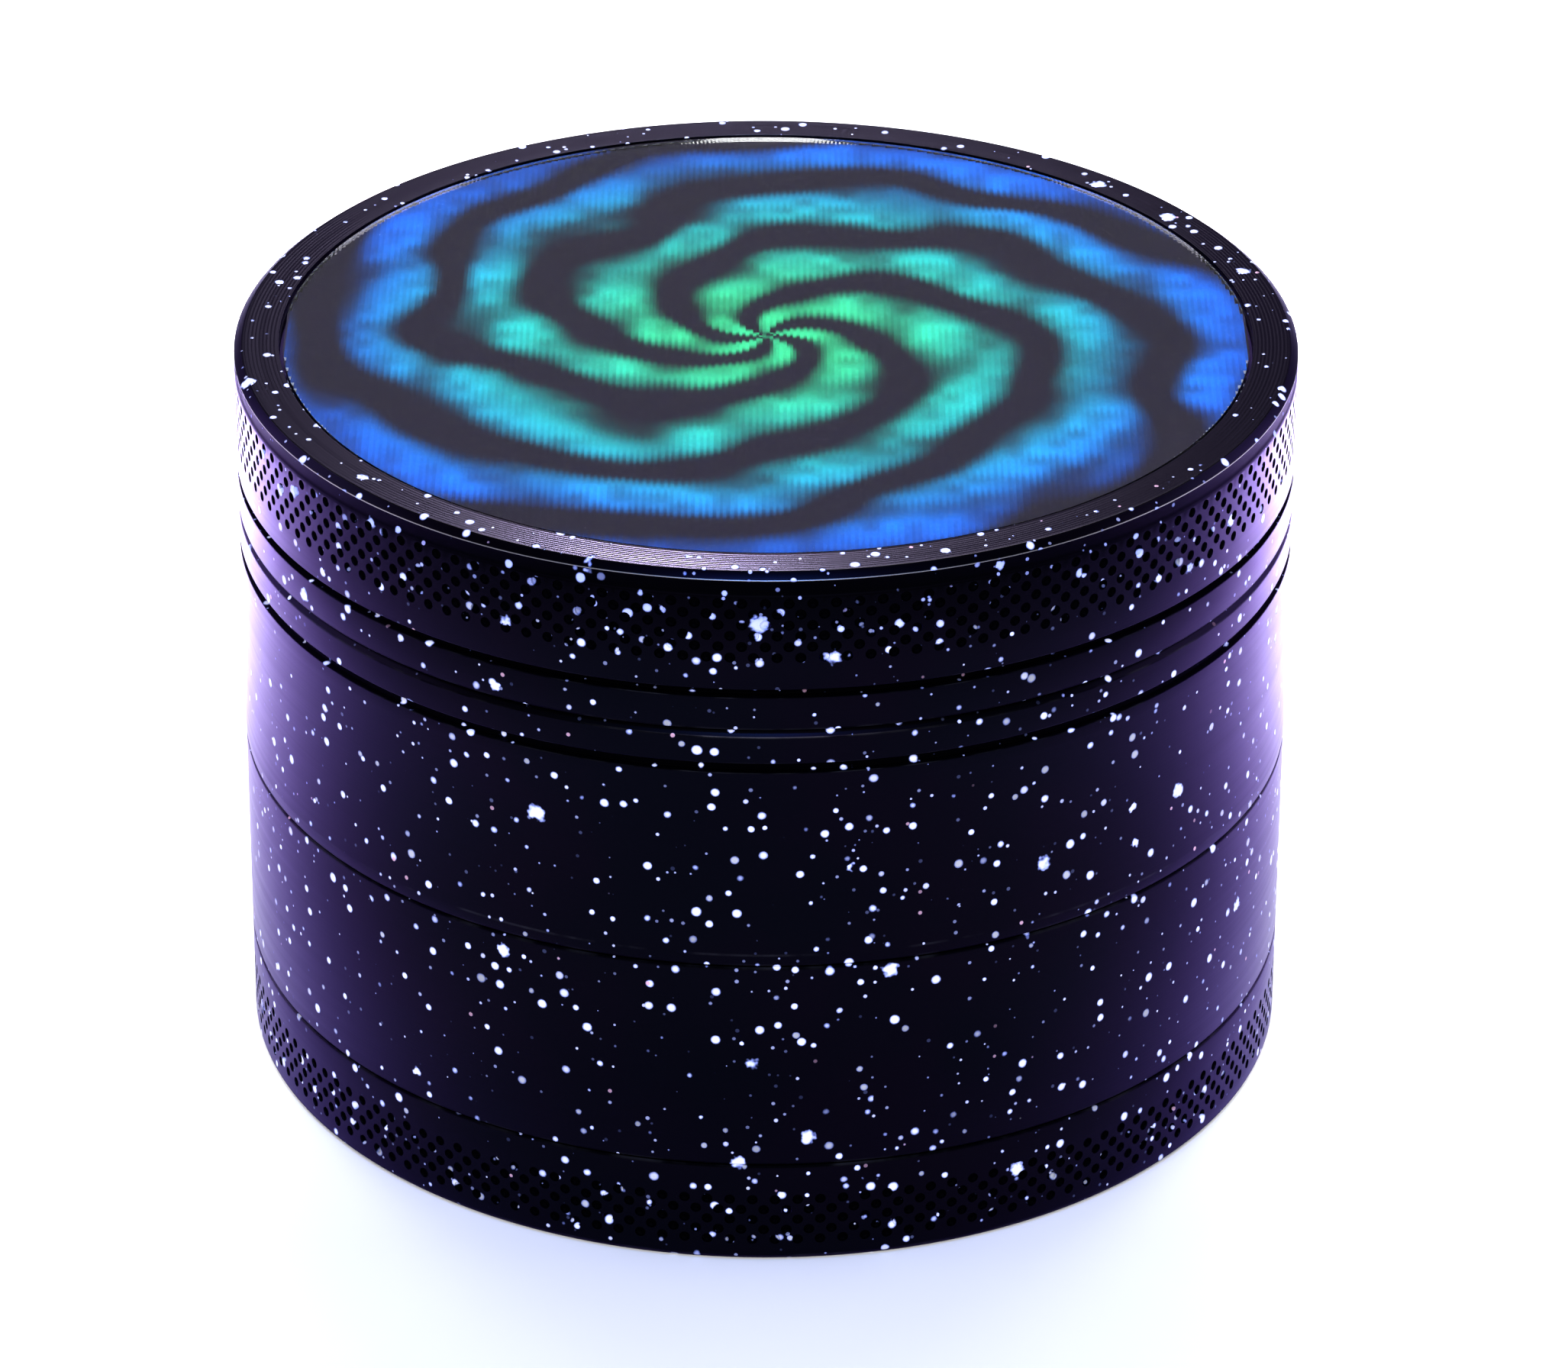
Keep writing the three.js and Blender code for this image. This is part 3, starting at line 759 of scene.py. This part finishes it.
def plate(z, outer, inner, up):
    """A flat face at height z between circles, with a hole at every hole centre."""
    centres = hole_centres()
    mouth = HOLE_R + HOLE_EDGE
    loops = [circle(outer, z, COLUMNS)]
    loops += [circle(mouth, z, HOLE_SIDES, centre) for centre in centres]
    if inner:
        loops.append(circle(inner, z, COLUMNS))
    sizes = [len(loop) for loop in loops]
    starts = np.cumsum([0] + sizes[:-1])
    edges = [(s + i, s + (i + 1) % n) for s, n in zip(starts, sizes) for i in range(n)]
    flat = np.vstack(loops)
    verts, _, faces, *_ = delaunay_2d_cdt([Vector(p[:2]) for p in flat], edges, [], 1, 1e-6)
    assert len(verts) == len(flat), "the outlines touch"
    points = flat
    faces = np.array([f for f in faces if len(f) == 3])
    middle = points[faces].mean(1)[:, :2]
    apart = np.linalg.norm(middle[:, None] - centres[None], axis=2).min(1)
    far = np.linalg.norm(middle, axis=1)
    farthest_inside = (1 + 2 * math.cos(2 * math.pi / HOLE_SIDES)) / 3
    nearest_outside = math.cos(math.pi / HOLE_SIDES)
    limit = mouth * (farthest_inside + nearest_outside) / 2
    keep = (apart > limit) & (far < outer) & (far > inner)
    faces = faces[keep]
    a, b, c = (points[faces[:, k]] for k in range(3))
    upward = np.cross(b - a, c - a)[:, 2] > 0
    flip = upward != up
    faces[flip] = faces[flip][:, ::-1]
    return points, np.zeros(len(points)), [faces]


def hole_walls():
    """The inside of one drilled hole with its two broken edges, centred on the axis."""
    rings = np.array([
        [HOLE_R + HOLE_EDGE, BOWL_FLOOR, 0.6],
        [HOLE_R, BOWL_FLOOR - HOLE_EDGE, 0.3],
        [HOLE_R, FLOOR_UNDER + HOLE_EDGE, 0.0],
        [HOLE_R + HOLE_EDGE, FLOOR_UNDER, 0.0],
    ])
    points, edges, faces, _ = turned(rings, columns=HOLE_SIDES)
    return points, edges, faces


def placed_holes():
    """Each hole's wall at its own centre. The holes are not turned, so that they match the plates' circles."""
    points, edges, faces = hole_walls()
    return [(points + [*centre, 0.0], edges, faces) for centre in hole_centres()]


# %% [markdown]
# ## The pollen catcher
# The shallow bottom cup. Its outside carries the lower knurl, its inside a bowl and one turn and a half of
# thread. The underside has a slightly hollow ring, as turned bases do, so that it stands on its rim.

# %% Pollen catcher
LOWER_KNURL = 1.15
LOWER_ROWS = 5
FOOT_RELIEF = 0.12


def pollen_catcher():
    corners = [
        (0, FOOT_RELIEF, 0),
        (12.0, FOOT_RELIEF, 0.3),
        (24.0, FOOT_RELIEF, 0.3),
        (26.0, 0.0, 0.3),
        (BODY_R - 0.35, 0.0, 0.12),
        (BODY_R, 0.35, 0.12),
        (BODY_R, LOWER_KNURL, 0),
        (BODY_R, LOWER_KNURL + LOWER_ROWS * PIT_ROW, 0),
        (BODY_R, CATCHER_TOP, SEAM_EDGE),
        (NUT_R, CATCHER_TOP, 0.2),
        (NUT_R, CATCHER_STEP, 0.15),
        (CATCHER_BOWL_R, CATCHER_STEP, 0.2),
        (CATCHER_BOWL_R, CATCHER_FLOOR, 0.9),
        (0, CATCHER_FLOOR, 0),
    ]
    wall = with_knurl(outline(corners), LOWER_KNURL, LOWER_ROWS)
    return metal_object("pollen_catcher_turned", [wall, nut_thread(STORAGE_SPIGOT_LOW, -0.65, 1.05)])


settle(pollen_catcher(), "catcher", "coated_metal", COATED_METAL, "pollen_catcher")

# %% [markdown]
# ## The storage chamber
# A plain tube with a spigot below, a ledge for the screen, and a threaded mouth above.


# %% Storage chamber
def storage_chamber():
    low = CATCHER_TOP + SEAM_GAP
    nut_low = SPIGOT_LOW - 0.4
    corners = [
        (SCREEN_LEDGE_R, STORAGE_SPIGOT_LOW, 0.2),
        (SPIGOT_R, STORAGE_SPIGOT_LOW, 0.25),
        (SPIGOT_R, low, 0.1),
        (BODY_R, low, SEAM_EDGE),
        (BODY_R, STORAGE_TOP, SEAM_EDGE),
        (NUT_R, STORAGE_TOP, 0.25),
        (NUT_R, nut_low, 0.2),
        (STORAGE_R, nut_low, 0.25),
        (STORAGE_R, SCREEN_LEDGE, 0.1),
        (SCREEN_LEDGE_R, SCREEN_LEDGE, 0.15),
    ]
    points, edges, faces, _ = turned(outline(corners, closed=True), closed=True)
    threads = [spigot_thread(STORAGE_SPIGOT_LOW, 1.5), nut_thread(SPIGOT_LOW, -0.8, 1.75)]
    return metal_object("storage_chamber_turned", [(points, edges, faces), *threads])


settle(storage_chamber(), "storage", "coated_metal", COATED_METAL, "storage_chamber")

# %% [markdown]
# ## The grinding chamber
# The piece with the most in it: a drilled floor, 28 teeth, a post with a magnet, a collar that guides the
# lid, and a threaded spigot. Outside it has a very shallow waist between a lip and a groove, where the
# fingers grip.

# %% Grinding chamber
FLOOR_FILLET = 0.6


def waist(top):
    """The shallow hollow in the outer wall: radius = body radius - waist * sin(pi t)."""
    t = np.linspace(0.06, 0.94, 9)
    return [(BODY_R - WAIST * math.sin(math.pi * s), LIP + s * (top - LIP), 0) for s in t]


def grinding_chamber():
    low = STORAGE_TOP + SEAM_GAP
    z, half, depth = CHAMBER_GROOVE
    corners = [
        (BOWL_R - FLOOR_FILLET, FLOOR_UNDER, 0),
        (BOWL_R, FLOOR_UNDER, 0.5),
        (BOWL_R, SPIGOT_LOW, 0.2),
        (SPIGOT_R, SPIGOT_LOW, 0.25),
        (SPIGOT_R, low, 0.1),
        (BODY_R, low, SEAM_EDGE),
        (BODY_R, LIP, 0.1),
        *waist(z - half - 0.1),
        *groove(z, half, depth),
        (BODY_R, SHOULDER - 0.4, 0.08),
        (BODY_R - 0.4, SHOULDER, 0.08),
        (COLLAR_R, SHOULDER, 0.15),
        (COLLAR_R, COLLAR_TOP, 0.3),
        (BOWL_R, COLLAR_TOP, 0.3),
        (BOWL_R, BOWL_FLOOR, FLOOR_FILLET * 0.9),
        (BOWL_R - FLOOR_FILLET, BOWL_FLOOR, 0),
    ]
    points, edges, faces, _ = turned(outline(corners, steps=4))
    magnet_r = span("chamber_magnet")[1][0] + MAGNET_FIT
    post_top = span("chamber_magnet")[1][2] + MAGNET_FIT / 2
    pocket_floor = span("chamber_magnet")[0][2] - MAGNET_FIT / 2
    post = [
        (POST_R + 0.6, BOWL_FLOOR, 0),
        (POST_R, BOWL_FLOOR, 0.5),
        (POST_R, post_top, 0.3),
        (magnet_r, post_top, 0.1),
        (magnet_r, pocket_floor, 0.1),
        (0, pocket_floor, 0),
    ]
    post_points, post_edges, post_faces, _ = turned(outline(post))
    parts = [
        (points, edges, faces),
        (post_points, post_edges, post_faces),
        plate(BOWL_FLOOR, BOWL_R - FLOOR_FILLET, POST_R + 0.6, True),
        plate(FLOOR_UNDER, BOWL_R - FLOOR_FILLET, 0.0, False),
        *placed_holes(),
        *around(CHAMBER_RINGS, 0.0, tooth(BOWL_FLOOR, True)),
        spigot_thread(SPIGOT_LOW, 2.2),
    ]
    return metal_object("grinding_chamber_turned", parts)


settle(grinding_chamber(), "grinder", "coated_metal", COATED_METAL, "grinding_chamber", "chamber_floor")

# %% [markdown]
# ## The lid
# From its lower edge up: the seam, a groove, the upper knurl, a narrow neck and the bevelled rim. The
# rim's flat face keeps the facing tool's rings as real ridges, five microns deep, because they bend a
# reflection outwards and inwards but not sideways. It surrounds the recess that holds the picture card.
# Underneath hang 32 teeth and the second magnet's post, and the bore has a groove for the glide ring.

# %% Lid
UPPER_KNURL = 39.45
UPPER_ROWS = 6
NECK = 0.12
RING_PITCH = 0.22
RING_DEPTH = 0.005


def faced_rings():
    """The rim's flat face from its outer to its inner edge: z = height - depth * (1 - cos(2 pi r / pitch))."""
    outer, inner = BODY_R - RIM_BEVEL - 0.12, RECESS_R + 0.1
    r = np.linspace(outer, inner, int((outer - inner) / RING_PITCH * 6))
    return [(x, HEIGHT - RING_DEPTH * (1 - math.cos(2 * math.pi * x / RING_PITCH)), 0) for x in r]


def lid():
    low = SHOULDER + SEAM_GAP
    magnet_r = span("lid_magnet")[1][0] + MAGNET_FIT
    post_low = span("lid_magnet")[0][2] - MAGNET_FIT / 2
    glide_low, glide_high = span("lid_glide_ring")[0][2] - 0.15, span("lid_glide_ring")[1][2] + 0.15
    glide_r = span("lid_glide_ring")[1][0] + 0.15
    knurl_high = UPPER_KNURL + UPPER_ROWS * PIT_ROW
    corners = [
        (0, PLATE_BOTTOM, 0),
        (magnet_r, PLATE_BOTTOM, 0.1),
        (magnet_r, post_low, 0.1),
        (POST_R, post_low, 0.3),
        (POST_R, PLATE_BOTTOM, 0.5),
        (LID_BORE_R, PLATE_BOTTOM, 0.4),
        (LID_BORE_R, glide_high, 0.1),
        (glide_r, glide_high, 0.05),
        (glide_r, glide_low, 0.05),
        (LID_BORE_R, glide_low, 0.1),
        (LID_BORE_R, low, 0.3),
        (BODY_R, low, SEAM_EDGE),
        *groove(*LID_GROOVE),
        (BODY_R, UPPER_KNURL, 0),
        (BODY_R, knurl_high, 0),
        (BODY_R - NECK, knurl_high + 0.25, 0.1),
        (BODY_R - NECK, RIM_LOW - 0.1, 0.05),
        (BODY_R, RIM_LOW, 0.04),
        (BODY_R - RIM_BEVEL, HEIGHT, 0.08),
        *faced_rings(),
        (RECESS_R, HEIGHT, 0.08),
        (RECESS_R, RECESS_FLOOR, 0.05),
        (0, RECESS_FLOOR, 0),
    ]
    wall = with_knurl(outline(corners), UPPER_KNURL, UPPER_ROWS)
    return metal_object("lid_turned", [wall, *around(LID_RINGS, 0.5, tooth(PLATE_BOTTOM, False))])


settle(lid(), "lid", "coated_metal", COATED_METAL, "lid_shell", "lid_plate")

# %% [markdown]
# ## Rings and discs
# The magnets, the nylon glide ring, the screen's retaining ring and the adhesive disc are turned or stamped
# rounds. Each takes its size from its CAD node's box and gets its own broken edges.


# %% Rings and discs
def round_piece(name, node, inner, edge, body, slot, material, inset=0.0):
    """A ring, or a disc where inner is 0, in its node's box, with rounded edges and its rim set in."""
    low, high = span(node)
    high[0] -= inset
    if inner:
        corners = [
            (inner, low[2], edge), (high[0], low[2], edge),
            (high[0], high[2], edge), (inner, high[2], edge),
        ]
    else:
        corners = [(0, low[2], 0), (high[0], low[2], edge), (high[0], high[2], edge), (0, high[2], 0)]
    points, edges, faces, _ = turned(outline(corners, closed=bool(inner)), closed=bool(inner))
    obj = make_object(name, points, faces, edge=edges) if inner else disc_object(name, points, edges, faces)
    return settle(obj, body, slot, material, node)


def disc_object(name, points, edges, faces):
    """Welds the poles of a disc before it becomes a mesh."""
    points, edges, faces = joined([(points, edges, faces)])
    return make_object(name, points, faces, edge=edges)


GLIDE_IN_R = 28.65
RETAINER_IN_R = 26.8
round_piece("magnet_in_chamber", "chamber_magnet", 0, 0.3, "grinder_screw", "nickel_plate", NICKEL_PLATE)
round_piece("magnet_in_lid", "lid_magnet", 0, 0.3, "lid", "nickel_plate", NICKEL_PLATE)
round_piece("glide_ring", "lid_glide_ring", GLIDE_IN_R, 0.2, "lid_lifter", "nylon", NYLON)
round_piece(
    "retaining_ring", "screen_retaining_ring", RETAINER_IN_R, 0.25, "storage_screw", "bare_aluminium",
    BARE_ALUMINIUM)
round_piece("adhesive_disc", "picture_adhesive_disc", 0, 0.05, "lid", "adhesive", ADHESIVE, inset=0.6)

# %% [markdown]
# ## The screen
# Woven stainless wire. Each wire passes over and under the ones that cross it, so its height alternates from
# crossing to crossing: z = middle + amplitude * (-1)^(i + j). One point at each crossing is enough for the
# weave to read, with four sides round the wire. Both directions come from one array, turned by a quarter.

# %% Woven screen
WIRE = 0.13
WEAVE = 0.6


def wires(radius, middle, flip):
    """Tubes along Y at every WEAVE in X, cut to a circle. Returns points and faces as arrays."""
    reach = int(radius / WEAVE)
    line = np.arange(-reach, reach + 1)
    i, j = np.meshgrid(line, line, indexing="ij")
    inside = np.hypot(i, j) * WEAVE < radius - WIRE
    lift = np.where((i + j) % 2 == 0, 1.0, -1.0) * (-1.0 if flip else 1.0) * WIRE * 0.55
    side = np.arange(4) * np.pi / 2 + np.pi / 4
    dx, dz = WIRE / 2 * 1.25 * np.cos(side), WIRE / 2 * 1.25 * np.sin(side)
    x = i[..., None] * WEAVE + dx
    y = j[..., None] * WEAVE + 0 * dx
    z = middle + lift[..., None] + dz
    across = (x, y, z) if not flip else (y, x, z)
    points = np.stack(across, -1).reshape(-1, 3)
    number = np.arange(i.size * 4).reshape(*i.shape, 4)
    joins = inside[:, :-1] & inside[:, 1:]
    here, ahead = number[:, :-1][joins], number[:, 1:][joins]
    tube = bands(here, ahead)
    first = inside & ~np.pad(inside, ((0, 0), (1, 0)))[:, :-1]
    last = inside & ~np.pad(inside, ((0, 0), (0, 1)))[:, 1:]
    caps = [number[first][:, ::-1], number[last]]
    faces = [tube, *caps]
    if not flip:
        faces = [f[:, ::-1] for f in faces]
    used, packed = np.unique(np.concatenate([f.ravel() for f in faces]), return_inverse=True)
    cuts = np.cumsum([f.size for f in faces])[:-1]
    faces = [part.reshape(-1, 4) for part in np.split(packed.reshape(-1), cuts)]
    return points[used], np.zeros(len(used)), faces


def screen():
    low, high = span("screen_mesh")
    middle = (low[2] + high[2]) / 2
    points, edges, faces = joined([wires(high[0], middle, False), wires(high[0], middle, True)])
    return make_object("woven_screen", points, faces, smooth_angle=80.0, edge=edges)


settle(screen(), "storage", "stainless_wire", STAINLESS_WIRE, "screen_mesh")

# %% [markdown]
# ## The picture
# The card under the lens is a print: abstract spiral waves on a near-black ground, green in the middle, then
# teal, and blue at the edge. The print is a grid of small square cells, because a lenticular print shows as
# stepped cells, and each cell holds one flat colour.

# %% Picture helpers
CELL = 0.2
COMB_SHIFT = 0.12
COMB_TONE = 0.07
WAVE_ARMS = 5
WAVE_TURNS = 3.5
INK_GROUND = np.array([0.006, 0.004, 0.010])
INK_GREEN = np.array([0.020, 0.34, 0.11])
INK_TEAL = np.array([0.006, 0.25, 0.20])
INK_BLUE = np.array([0.0, 0.07, 0.34])


def step(value, low, high):
    """Smooth step from 0 at low to 1 at high."""
    t = np.clip((value - low) / (high - low), 0, 1)
    return t * t * (3 - 2 * t)


def cloud(x, y, cells, seed):
    """Value noise in 0..1: random numbers on a lattice, joined by smooth steps."""
    table = np.random.default_rng(seed).random((64, 64))
    u, v = (x + 2) * cells, (y + 2) * cells
    iu, iv = np.floor(u).astype(int), np.floor(v).astype(int)
    fu, fv = step(u - iu, 0, 1), step(v - iv, 0, 1)
    near = table[iu % 64, iv % 64] * (1 - fu) + table[(iu + 1) % 64, iv % 64] * fu
    far = table[iu % 64, (iv + 1) % 64] * (1 - fu) + table[(iu + 1) % 64, (iv + 1) % 64] * fu
    return near * (1 - fv) + far * fv


# %% Print
def print_colours(x, y):
    """Linear colours of the picture for places in -1..1 across the card.

    With radius r and angle a, a wave is 0.5 + 0.5 sin(2 pi turns (r + drift) + arms a). A second wave winds the
    other way and weakens the first where it is low. The ink runs from green to teal to blue with the radius.
    """
    radius, angle = np.hypot(x, y), np.arctan2(y, x)
    drift = 0.16 * (cloud(x, y, 4, 3) - 0.5)
    wave = 0.5 + 0.5 * np.sin(2 * np.pi * WAVE_TURNS * (radius + drift) + WAVE_ARMS * angle)
    counter = 0.5 + 0.5 * np.sin(2 * np.pi * WAVE_TURNS * (radius - drift) - WAVE_ARMS * angle)
    tone = step(wave * (0.5 + 0.5 * counter), 0.1, 0.9) * (0.6 + 0.8 * cloud(x, y, 24, 4))
    inner, outer = step(radius, 0.1, 0.6)[..., None], step(radius, 0.5, 1.0)[..., None]
    ink = (INK_GREEN * (1 - inner) + INK_TEAL * inner) * (1 - outer) + INK_BLUE * outer
    return np.clip(INK_GROUND + ink * tone[..., None], 0, 1)


def picture_print():
    """A thin disc whose top is a grid of square cells, each with one colour, and whose side is a wall.

    Every other column of cells is printed a little further up and paler, as interlaced lenticular prints are.
    """
    low, high = span("picture_print")
    count = int(CARD_R / CELL)
    line = np.arange(-count, count + 1) * CELL
    x, y = np.meshgrid(line, line, indexing="ij")
    middle = (line[:-1] + line[1:]) / 2
    cx, cy = np.meshgrid(middle, middle, indexing="ij")
    keep = np.hypot(cx, cy) < CARD_R - 0.6 * CELL
    number = np.arange(x.size).reshape(x.shape)
    quads = np.stack([number[:-1, :-1], number[1:, :-1], number[1:, 1:], number[:-1, 1:]], 2)[keep]
    top = np.stack([x, y, np.full(x.shape, high[2])], 2).reshape(-1, 3)
    bottom = top - [0, 0, high[2] - low[2]]
    ends = np.stack([quads, np.roll(quads, -1, 1)], 2).reshape(-1, 2)
    border = ends[~np.isin(ends[:, 0] * x.size + ends[:, 1], ends[:, 1] * x.size + ends[:, 0])]
    walls = np.stack([border[:, 1], border[:, 0], border[:, 0] + len(top), border[:, 1] + len(top)], 1)
    turn = np.argsort(-np.arctan2(top[border[:, 0], 1], top[border[:, 0], 0]))
    under = border[turn, 0][None] + len(top)
    groups = [quads, walls, under]
    used, packed = np.unique(np.concatenate([g.ravel() for g in groups]), return_inverse=True)
    parts = np.split(packed.reshape(-1), np.cumsum([g.size for g in groups])[:-1])
    faces = [part.reshape(g.shape) for part, g in zip(parts, groups)]
    obj = make_object("lenticular_print", np.vstack([top, bottom])[used], faces)
    comb = np.where(np.arange(2 * count) % 2 == 0, 1.0, -1.0)[:, None]
    colours = print_colours(cx / CARD_R, (cy + COMB_SHIFT * comb) / CARD_R)
    colours = (colours * (1 + COMB_TONE * comb[..., None]))[keep]
    each = np.repeat(colours, 4, axis=0)
    paper = np.tile([0.30, 0.30, 0.31], (walls.size + under.size, 1))
    each = np.vstack([each, paper])
    attribute = obj.data.color_attributes.new("picture", "FLOAT_COLOR", "CORNER")
    attribute.data.foreach_set("color", np.hstack([each, np.ones((len(each), 1))]).astype(np.float32).ravel())
    return obj


def printed_card():
    material, tree, shader = new_material("printed_card", Metallic=0.0, Specular_IOR_Level=0.0)
    colour = tree.node("ShaderNodeVertexColor", {"layer_name": "picture"}).outputs["Color"]
    grain = tree.ramp(tree.noise(9000.0, 2.0), 0.3, 0.7, 0.0, 0.16)
    tree.feed(shader["Base Color"], tree.blend(grain, colour, (0.0, 0.0, 0.0, 1.0)))
    tree.feed(shader["Roughness"], tree.ramp(tree.noise(1200.0, 3.0), 0.3, 0.7, 0.42, 0.6))
    return material


PRINTED_CARD = printed_card()
settle(picture_print(), "lid", "printed_card", PRINTED_CARD, "picture_print")

# %% [markdown]
# ## The lens sheet
# A clear sheet of fine cylindrical ribs lies on the print. The ribs run from front to back, four to the
# millimetre, and their round tops are what gives the picture its sparkle and its upright grain. The
# surface is point (i, t) = (x_i, t * sqrt(R^2 - x_i^2), top - sag_i), where the sag is 0 on a rib's
# crest.

# %% Lens sheet
RIB = 0.25
RIB_STEPS = 5
RIB_SAG = 0.012


def lens_sheet():
    low, high = span("picture_lens_sheet")
    ribs = int(2 * CARD_R / RIB)
    count = ribs * RIB_STEPS
    x = np.linspace(-ribs * RIB / 2, ribs * RIB / 2, count + 1)
    across = (x / RIB) % 1.0 * 2 - 1
    z = high[2] - RIB_SAG * across**2
    reach = np.sqrt(np.clip(CARD_R**2 - x**2, 0.01, None))
    t = np.linspace(-1, 1, 9)
    top = np.stack([x[:, None] + 0 * t, reach[:, None] * t, z[:, None] + 0 * t], 2)
    bottom = top.copy()
    bottom[..., 2] = low[2]
    number = np.arange(top[..., 0].size).reshape(top.shape[:2])
    upper = np.stack([number[:-1, :-1], number[1:, :-1], number[1:, 1:], number[:-1, 1:]], 2).reshape(-1, 4)
    lower = upper[:, ::-1] + number.size
    loop = np.concatenate([number[:, 0], number[-1, 1:], number[-2::-1, -1], number[0, -2:0:-1]])
    ahead = np.roll(loop, -1)
    walls = np.stack([loop, loop + number.size, ahead + number.size, ahead], 1)
    points = np.vstack([top.reshape(-1, 3), bottom.reshape(-1, 3)])
    return make_object("lens_sheet", points, [upper, lower, walls], smooth_angle=40.0)


def clear_plastic():
    """Clear plastic that casts no shadow on the print: shadow rays see a transparent surface."""
    material, tree, shader = new_material(
        "clear_plastic",
        Base_Color=(0.97, 0.99, 0.99, 1.0), IOR=1.4, Transmission_Weight=1.0, Metallic=0.0,
        Specular_IOR_Level=0.3,
    )
    tree.feed(shader["Roughness"], tree.ramp(tree.noise(1800.0, 4.0), 0.3, 0.7, 0.015, 0.035))
    nodes, links = material.node_tree.nodes, material.node_tree.links
    mix, clear = nodes.new("ShaderNodeMixShader"), nodes.new("ShaderNodeBsdfTransparent")
    links.new(nodes.new("ShaderNodeLightPath").outputs["Is Shadow Ray"], mix.inputs[0])
    links.new(nodes["Principled BSDF"].outputs[0], mix.inputs[1])
    links.new(clear.outputs[0], mix.inputs[2])
    links.new(mix.outputs[0], nodes["Material Output"].inputs["Surface"])
    return material


settle(lens_sheet(), "lid", "clear_plastic", clear_plastic(), "picture_lens_sheet")

# %% [markdown]
# ## Stage, light and camera
# A pale floor and large soft lights at both sides. The dark coat shows only what it mirrors: the sides of the
# body mirror the bright floor beside it and the side lights, and its front mirrors the plain floor before it,
# which is why the front stays nearly black. A light above and behind draws the bright streak on the rim.


# %% Stage
def floor():
    size = 1500.0
    points = np.array([[-size, -size, 0], [size, -size, 0], [size, size, 0], [-size, size, 0]], float)
    obj = make_object("studio_floor", points, [np.array([[0, 1, 2, 3]])])
    material, tree, shader = new_material("studio_paper", Roughness=0.9, Specular_IOR_Level=0.1)
    tone = tree.ramp(tree.noise(40.0, 3.0), 0.3, 0.7)
    tree.feed(shader["Base Color"], tree.blend(tone, (0.84, 0.84, 0.85, 1), (0.86, 0.86, 0.87, 1)))
    obj.data.materials.append(material)


def soft_light(name, place, target, size, radiance, colour=(1.0, 1.0, 1.0)):
    """A rectangular area light; its power gives the wanted radiance: power = pi * area * radiance."""
    light = bpy.data.lights.new(name, "AREA")
    light.shape = "RECTANGLE"
    light.size, light.size_y = size
    light.energy = math.pi * size[0] * size[1] * radiance
    light.color = colour
    obj = bpy.data.objects.new(name, light)
    obj.location = place
    obj.rotation_euler = (Vector(target) - Vector(place)).to_track_quat("-Z", "Y").to_euler()
    bpy.context.scene.collection.objects.link(obj)


floor()
soft_light("left_softbox", (-0.34, 0.10, 0.17), (0, 0, 0.02), (0.34, 0.30), 2.6, (0.85, 0.80, 1.0))
soft_light("right_softbox", (0.36, 0.10, 0.17), (0, 0, 0.02), (0.34, 0.30), 3.0, (0.85, 0.80, 1.0))
soft_light("left_low_light", (-0.09, 0.09, 0.036), (-0.09, 0.09, 0), (0.05, 0.05), 90.0, (1.0, 0.96, 0.94))
soft_light("right_low_light", (0.09, 0.09, 0.036), (0.09, 0.09, 0), (0.05, 0.05), 95.0, (1.0, 0.96, 0.94))
soft_light("back_softbox", (0.0, 0.42, 0.55), (0, 0, 0.03), (0.30, 0.24), 7.0)
soft_light("streak_light", (-0.03, 0.42, 0.424), (0, 0, 0.04), (0.05, 0.05), 190.0)
soft_light("front_softbox", (0.0, -0.56, 0.42), (0, 0, 0.03), (0.32, 0.24), 17.0)
soft_light("seam_light", (0.0, -0.28, 0.56), (0, 0, 0.035), (0.06, 0.06), 140.0, (0.10, 0.32, 1.0))

# %% World
world = bpy.data.worlds.new("studio")
world.use_nodes = True
bpy.context.scene.world = world
sky = world.node_tree.nodes
backdrop = sky["Background"]
backdrop.inputs["Color"].default_value = (0.9, 0.9, 0.93, 1)
backdrop.inputs["Strength"].default_value = 1.0
room = sky.new("ShaderNodeBackground")
room.inputs["Color"].default_value = (0.9, 0.9, 0.95, 1)
room.inputs["Strength"].default_value = 0.15
choose = sky.new("ShaderNodeMixShader")
world.node_tree.links.new(sky.new("ShaderNodeLightPath").outputs["Is Camera Ray"], choose.inputs[0])
world.node_tree.links.new(room.outputs[0], choose.inputs[1])
world.node_tree.links.new(backdrop.outputs[0], choose.inputs[2])
world.node_tree.links.new(choose.outputs[0], sky["World Output"].inputs["Surface"])
bpy.context.scene.view_settings.view_transform = "Standard"

# %% [markdown]
# The camera looks down at 28 degrees from 44 cm with a long lens, which keeps the ellipses full and the
# perspective slight. It turns a hair to one side and rolls a sixth of a degree.

# %% Camera
ELEVATION = math.radians(28.13)
DISTANCE = 0.4399
AIM = Vector((0.0, 0.0, 0.02132))
LENS = 166.2
PAN = -0.0026
ROLL = 0.0029

camera_data = bpy.data.cameras.new("camera")
camera_data.lens = LENS
camera_data.sensor_width = 36.0
camera_data.clip_start = 0.01
camera = bpy.data.objects.new("camera", camera_data)
back = Vector((0.0, -math.cos(ELEVATION), math.sin(ELEVATION)))
camera.location = AIM + back * DISTANCE
aimed = (-back).to_track_quat("-Z", "Y")
camera.rotation_mode = "QUATERNION"
camera.rotation_quaternion = aimed @ Quaternion((0, 1, 0), PAN) @ Quaternion((0, 0, 1), ROLL)
bpy.context.scene.collection.objects.link(camera)
bpy.context.scene.camera = camera
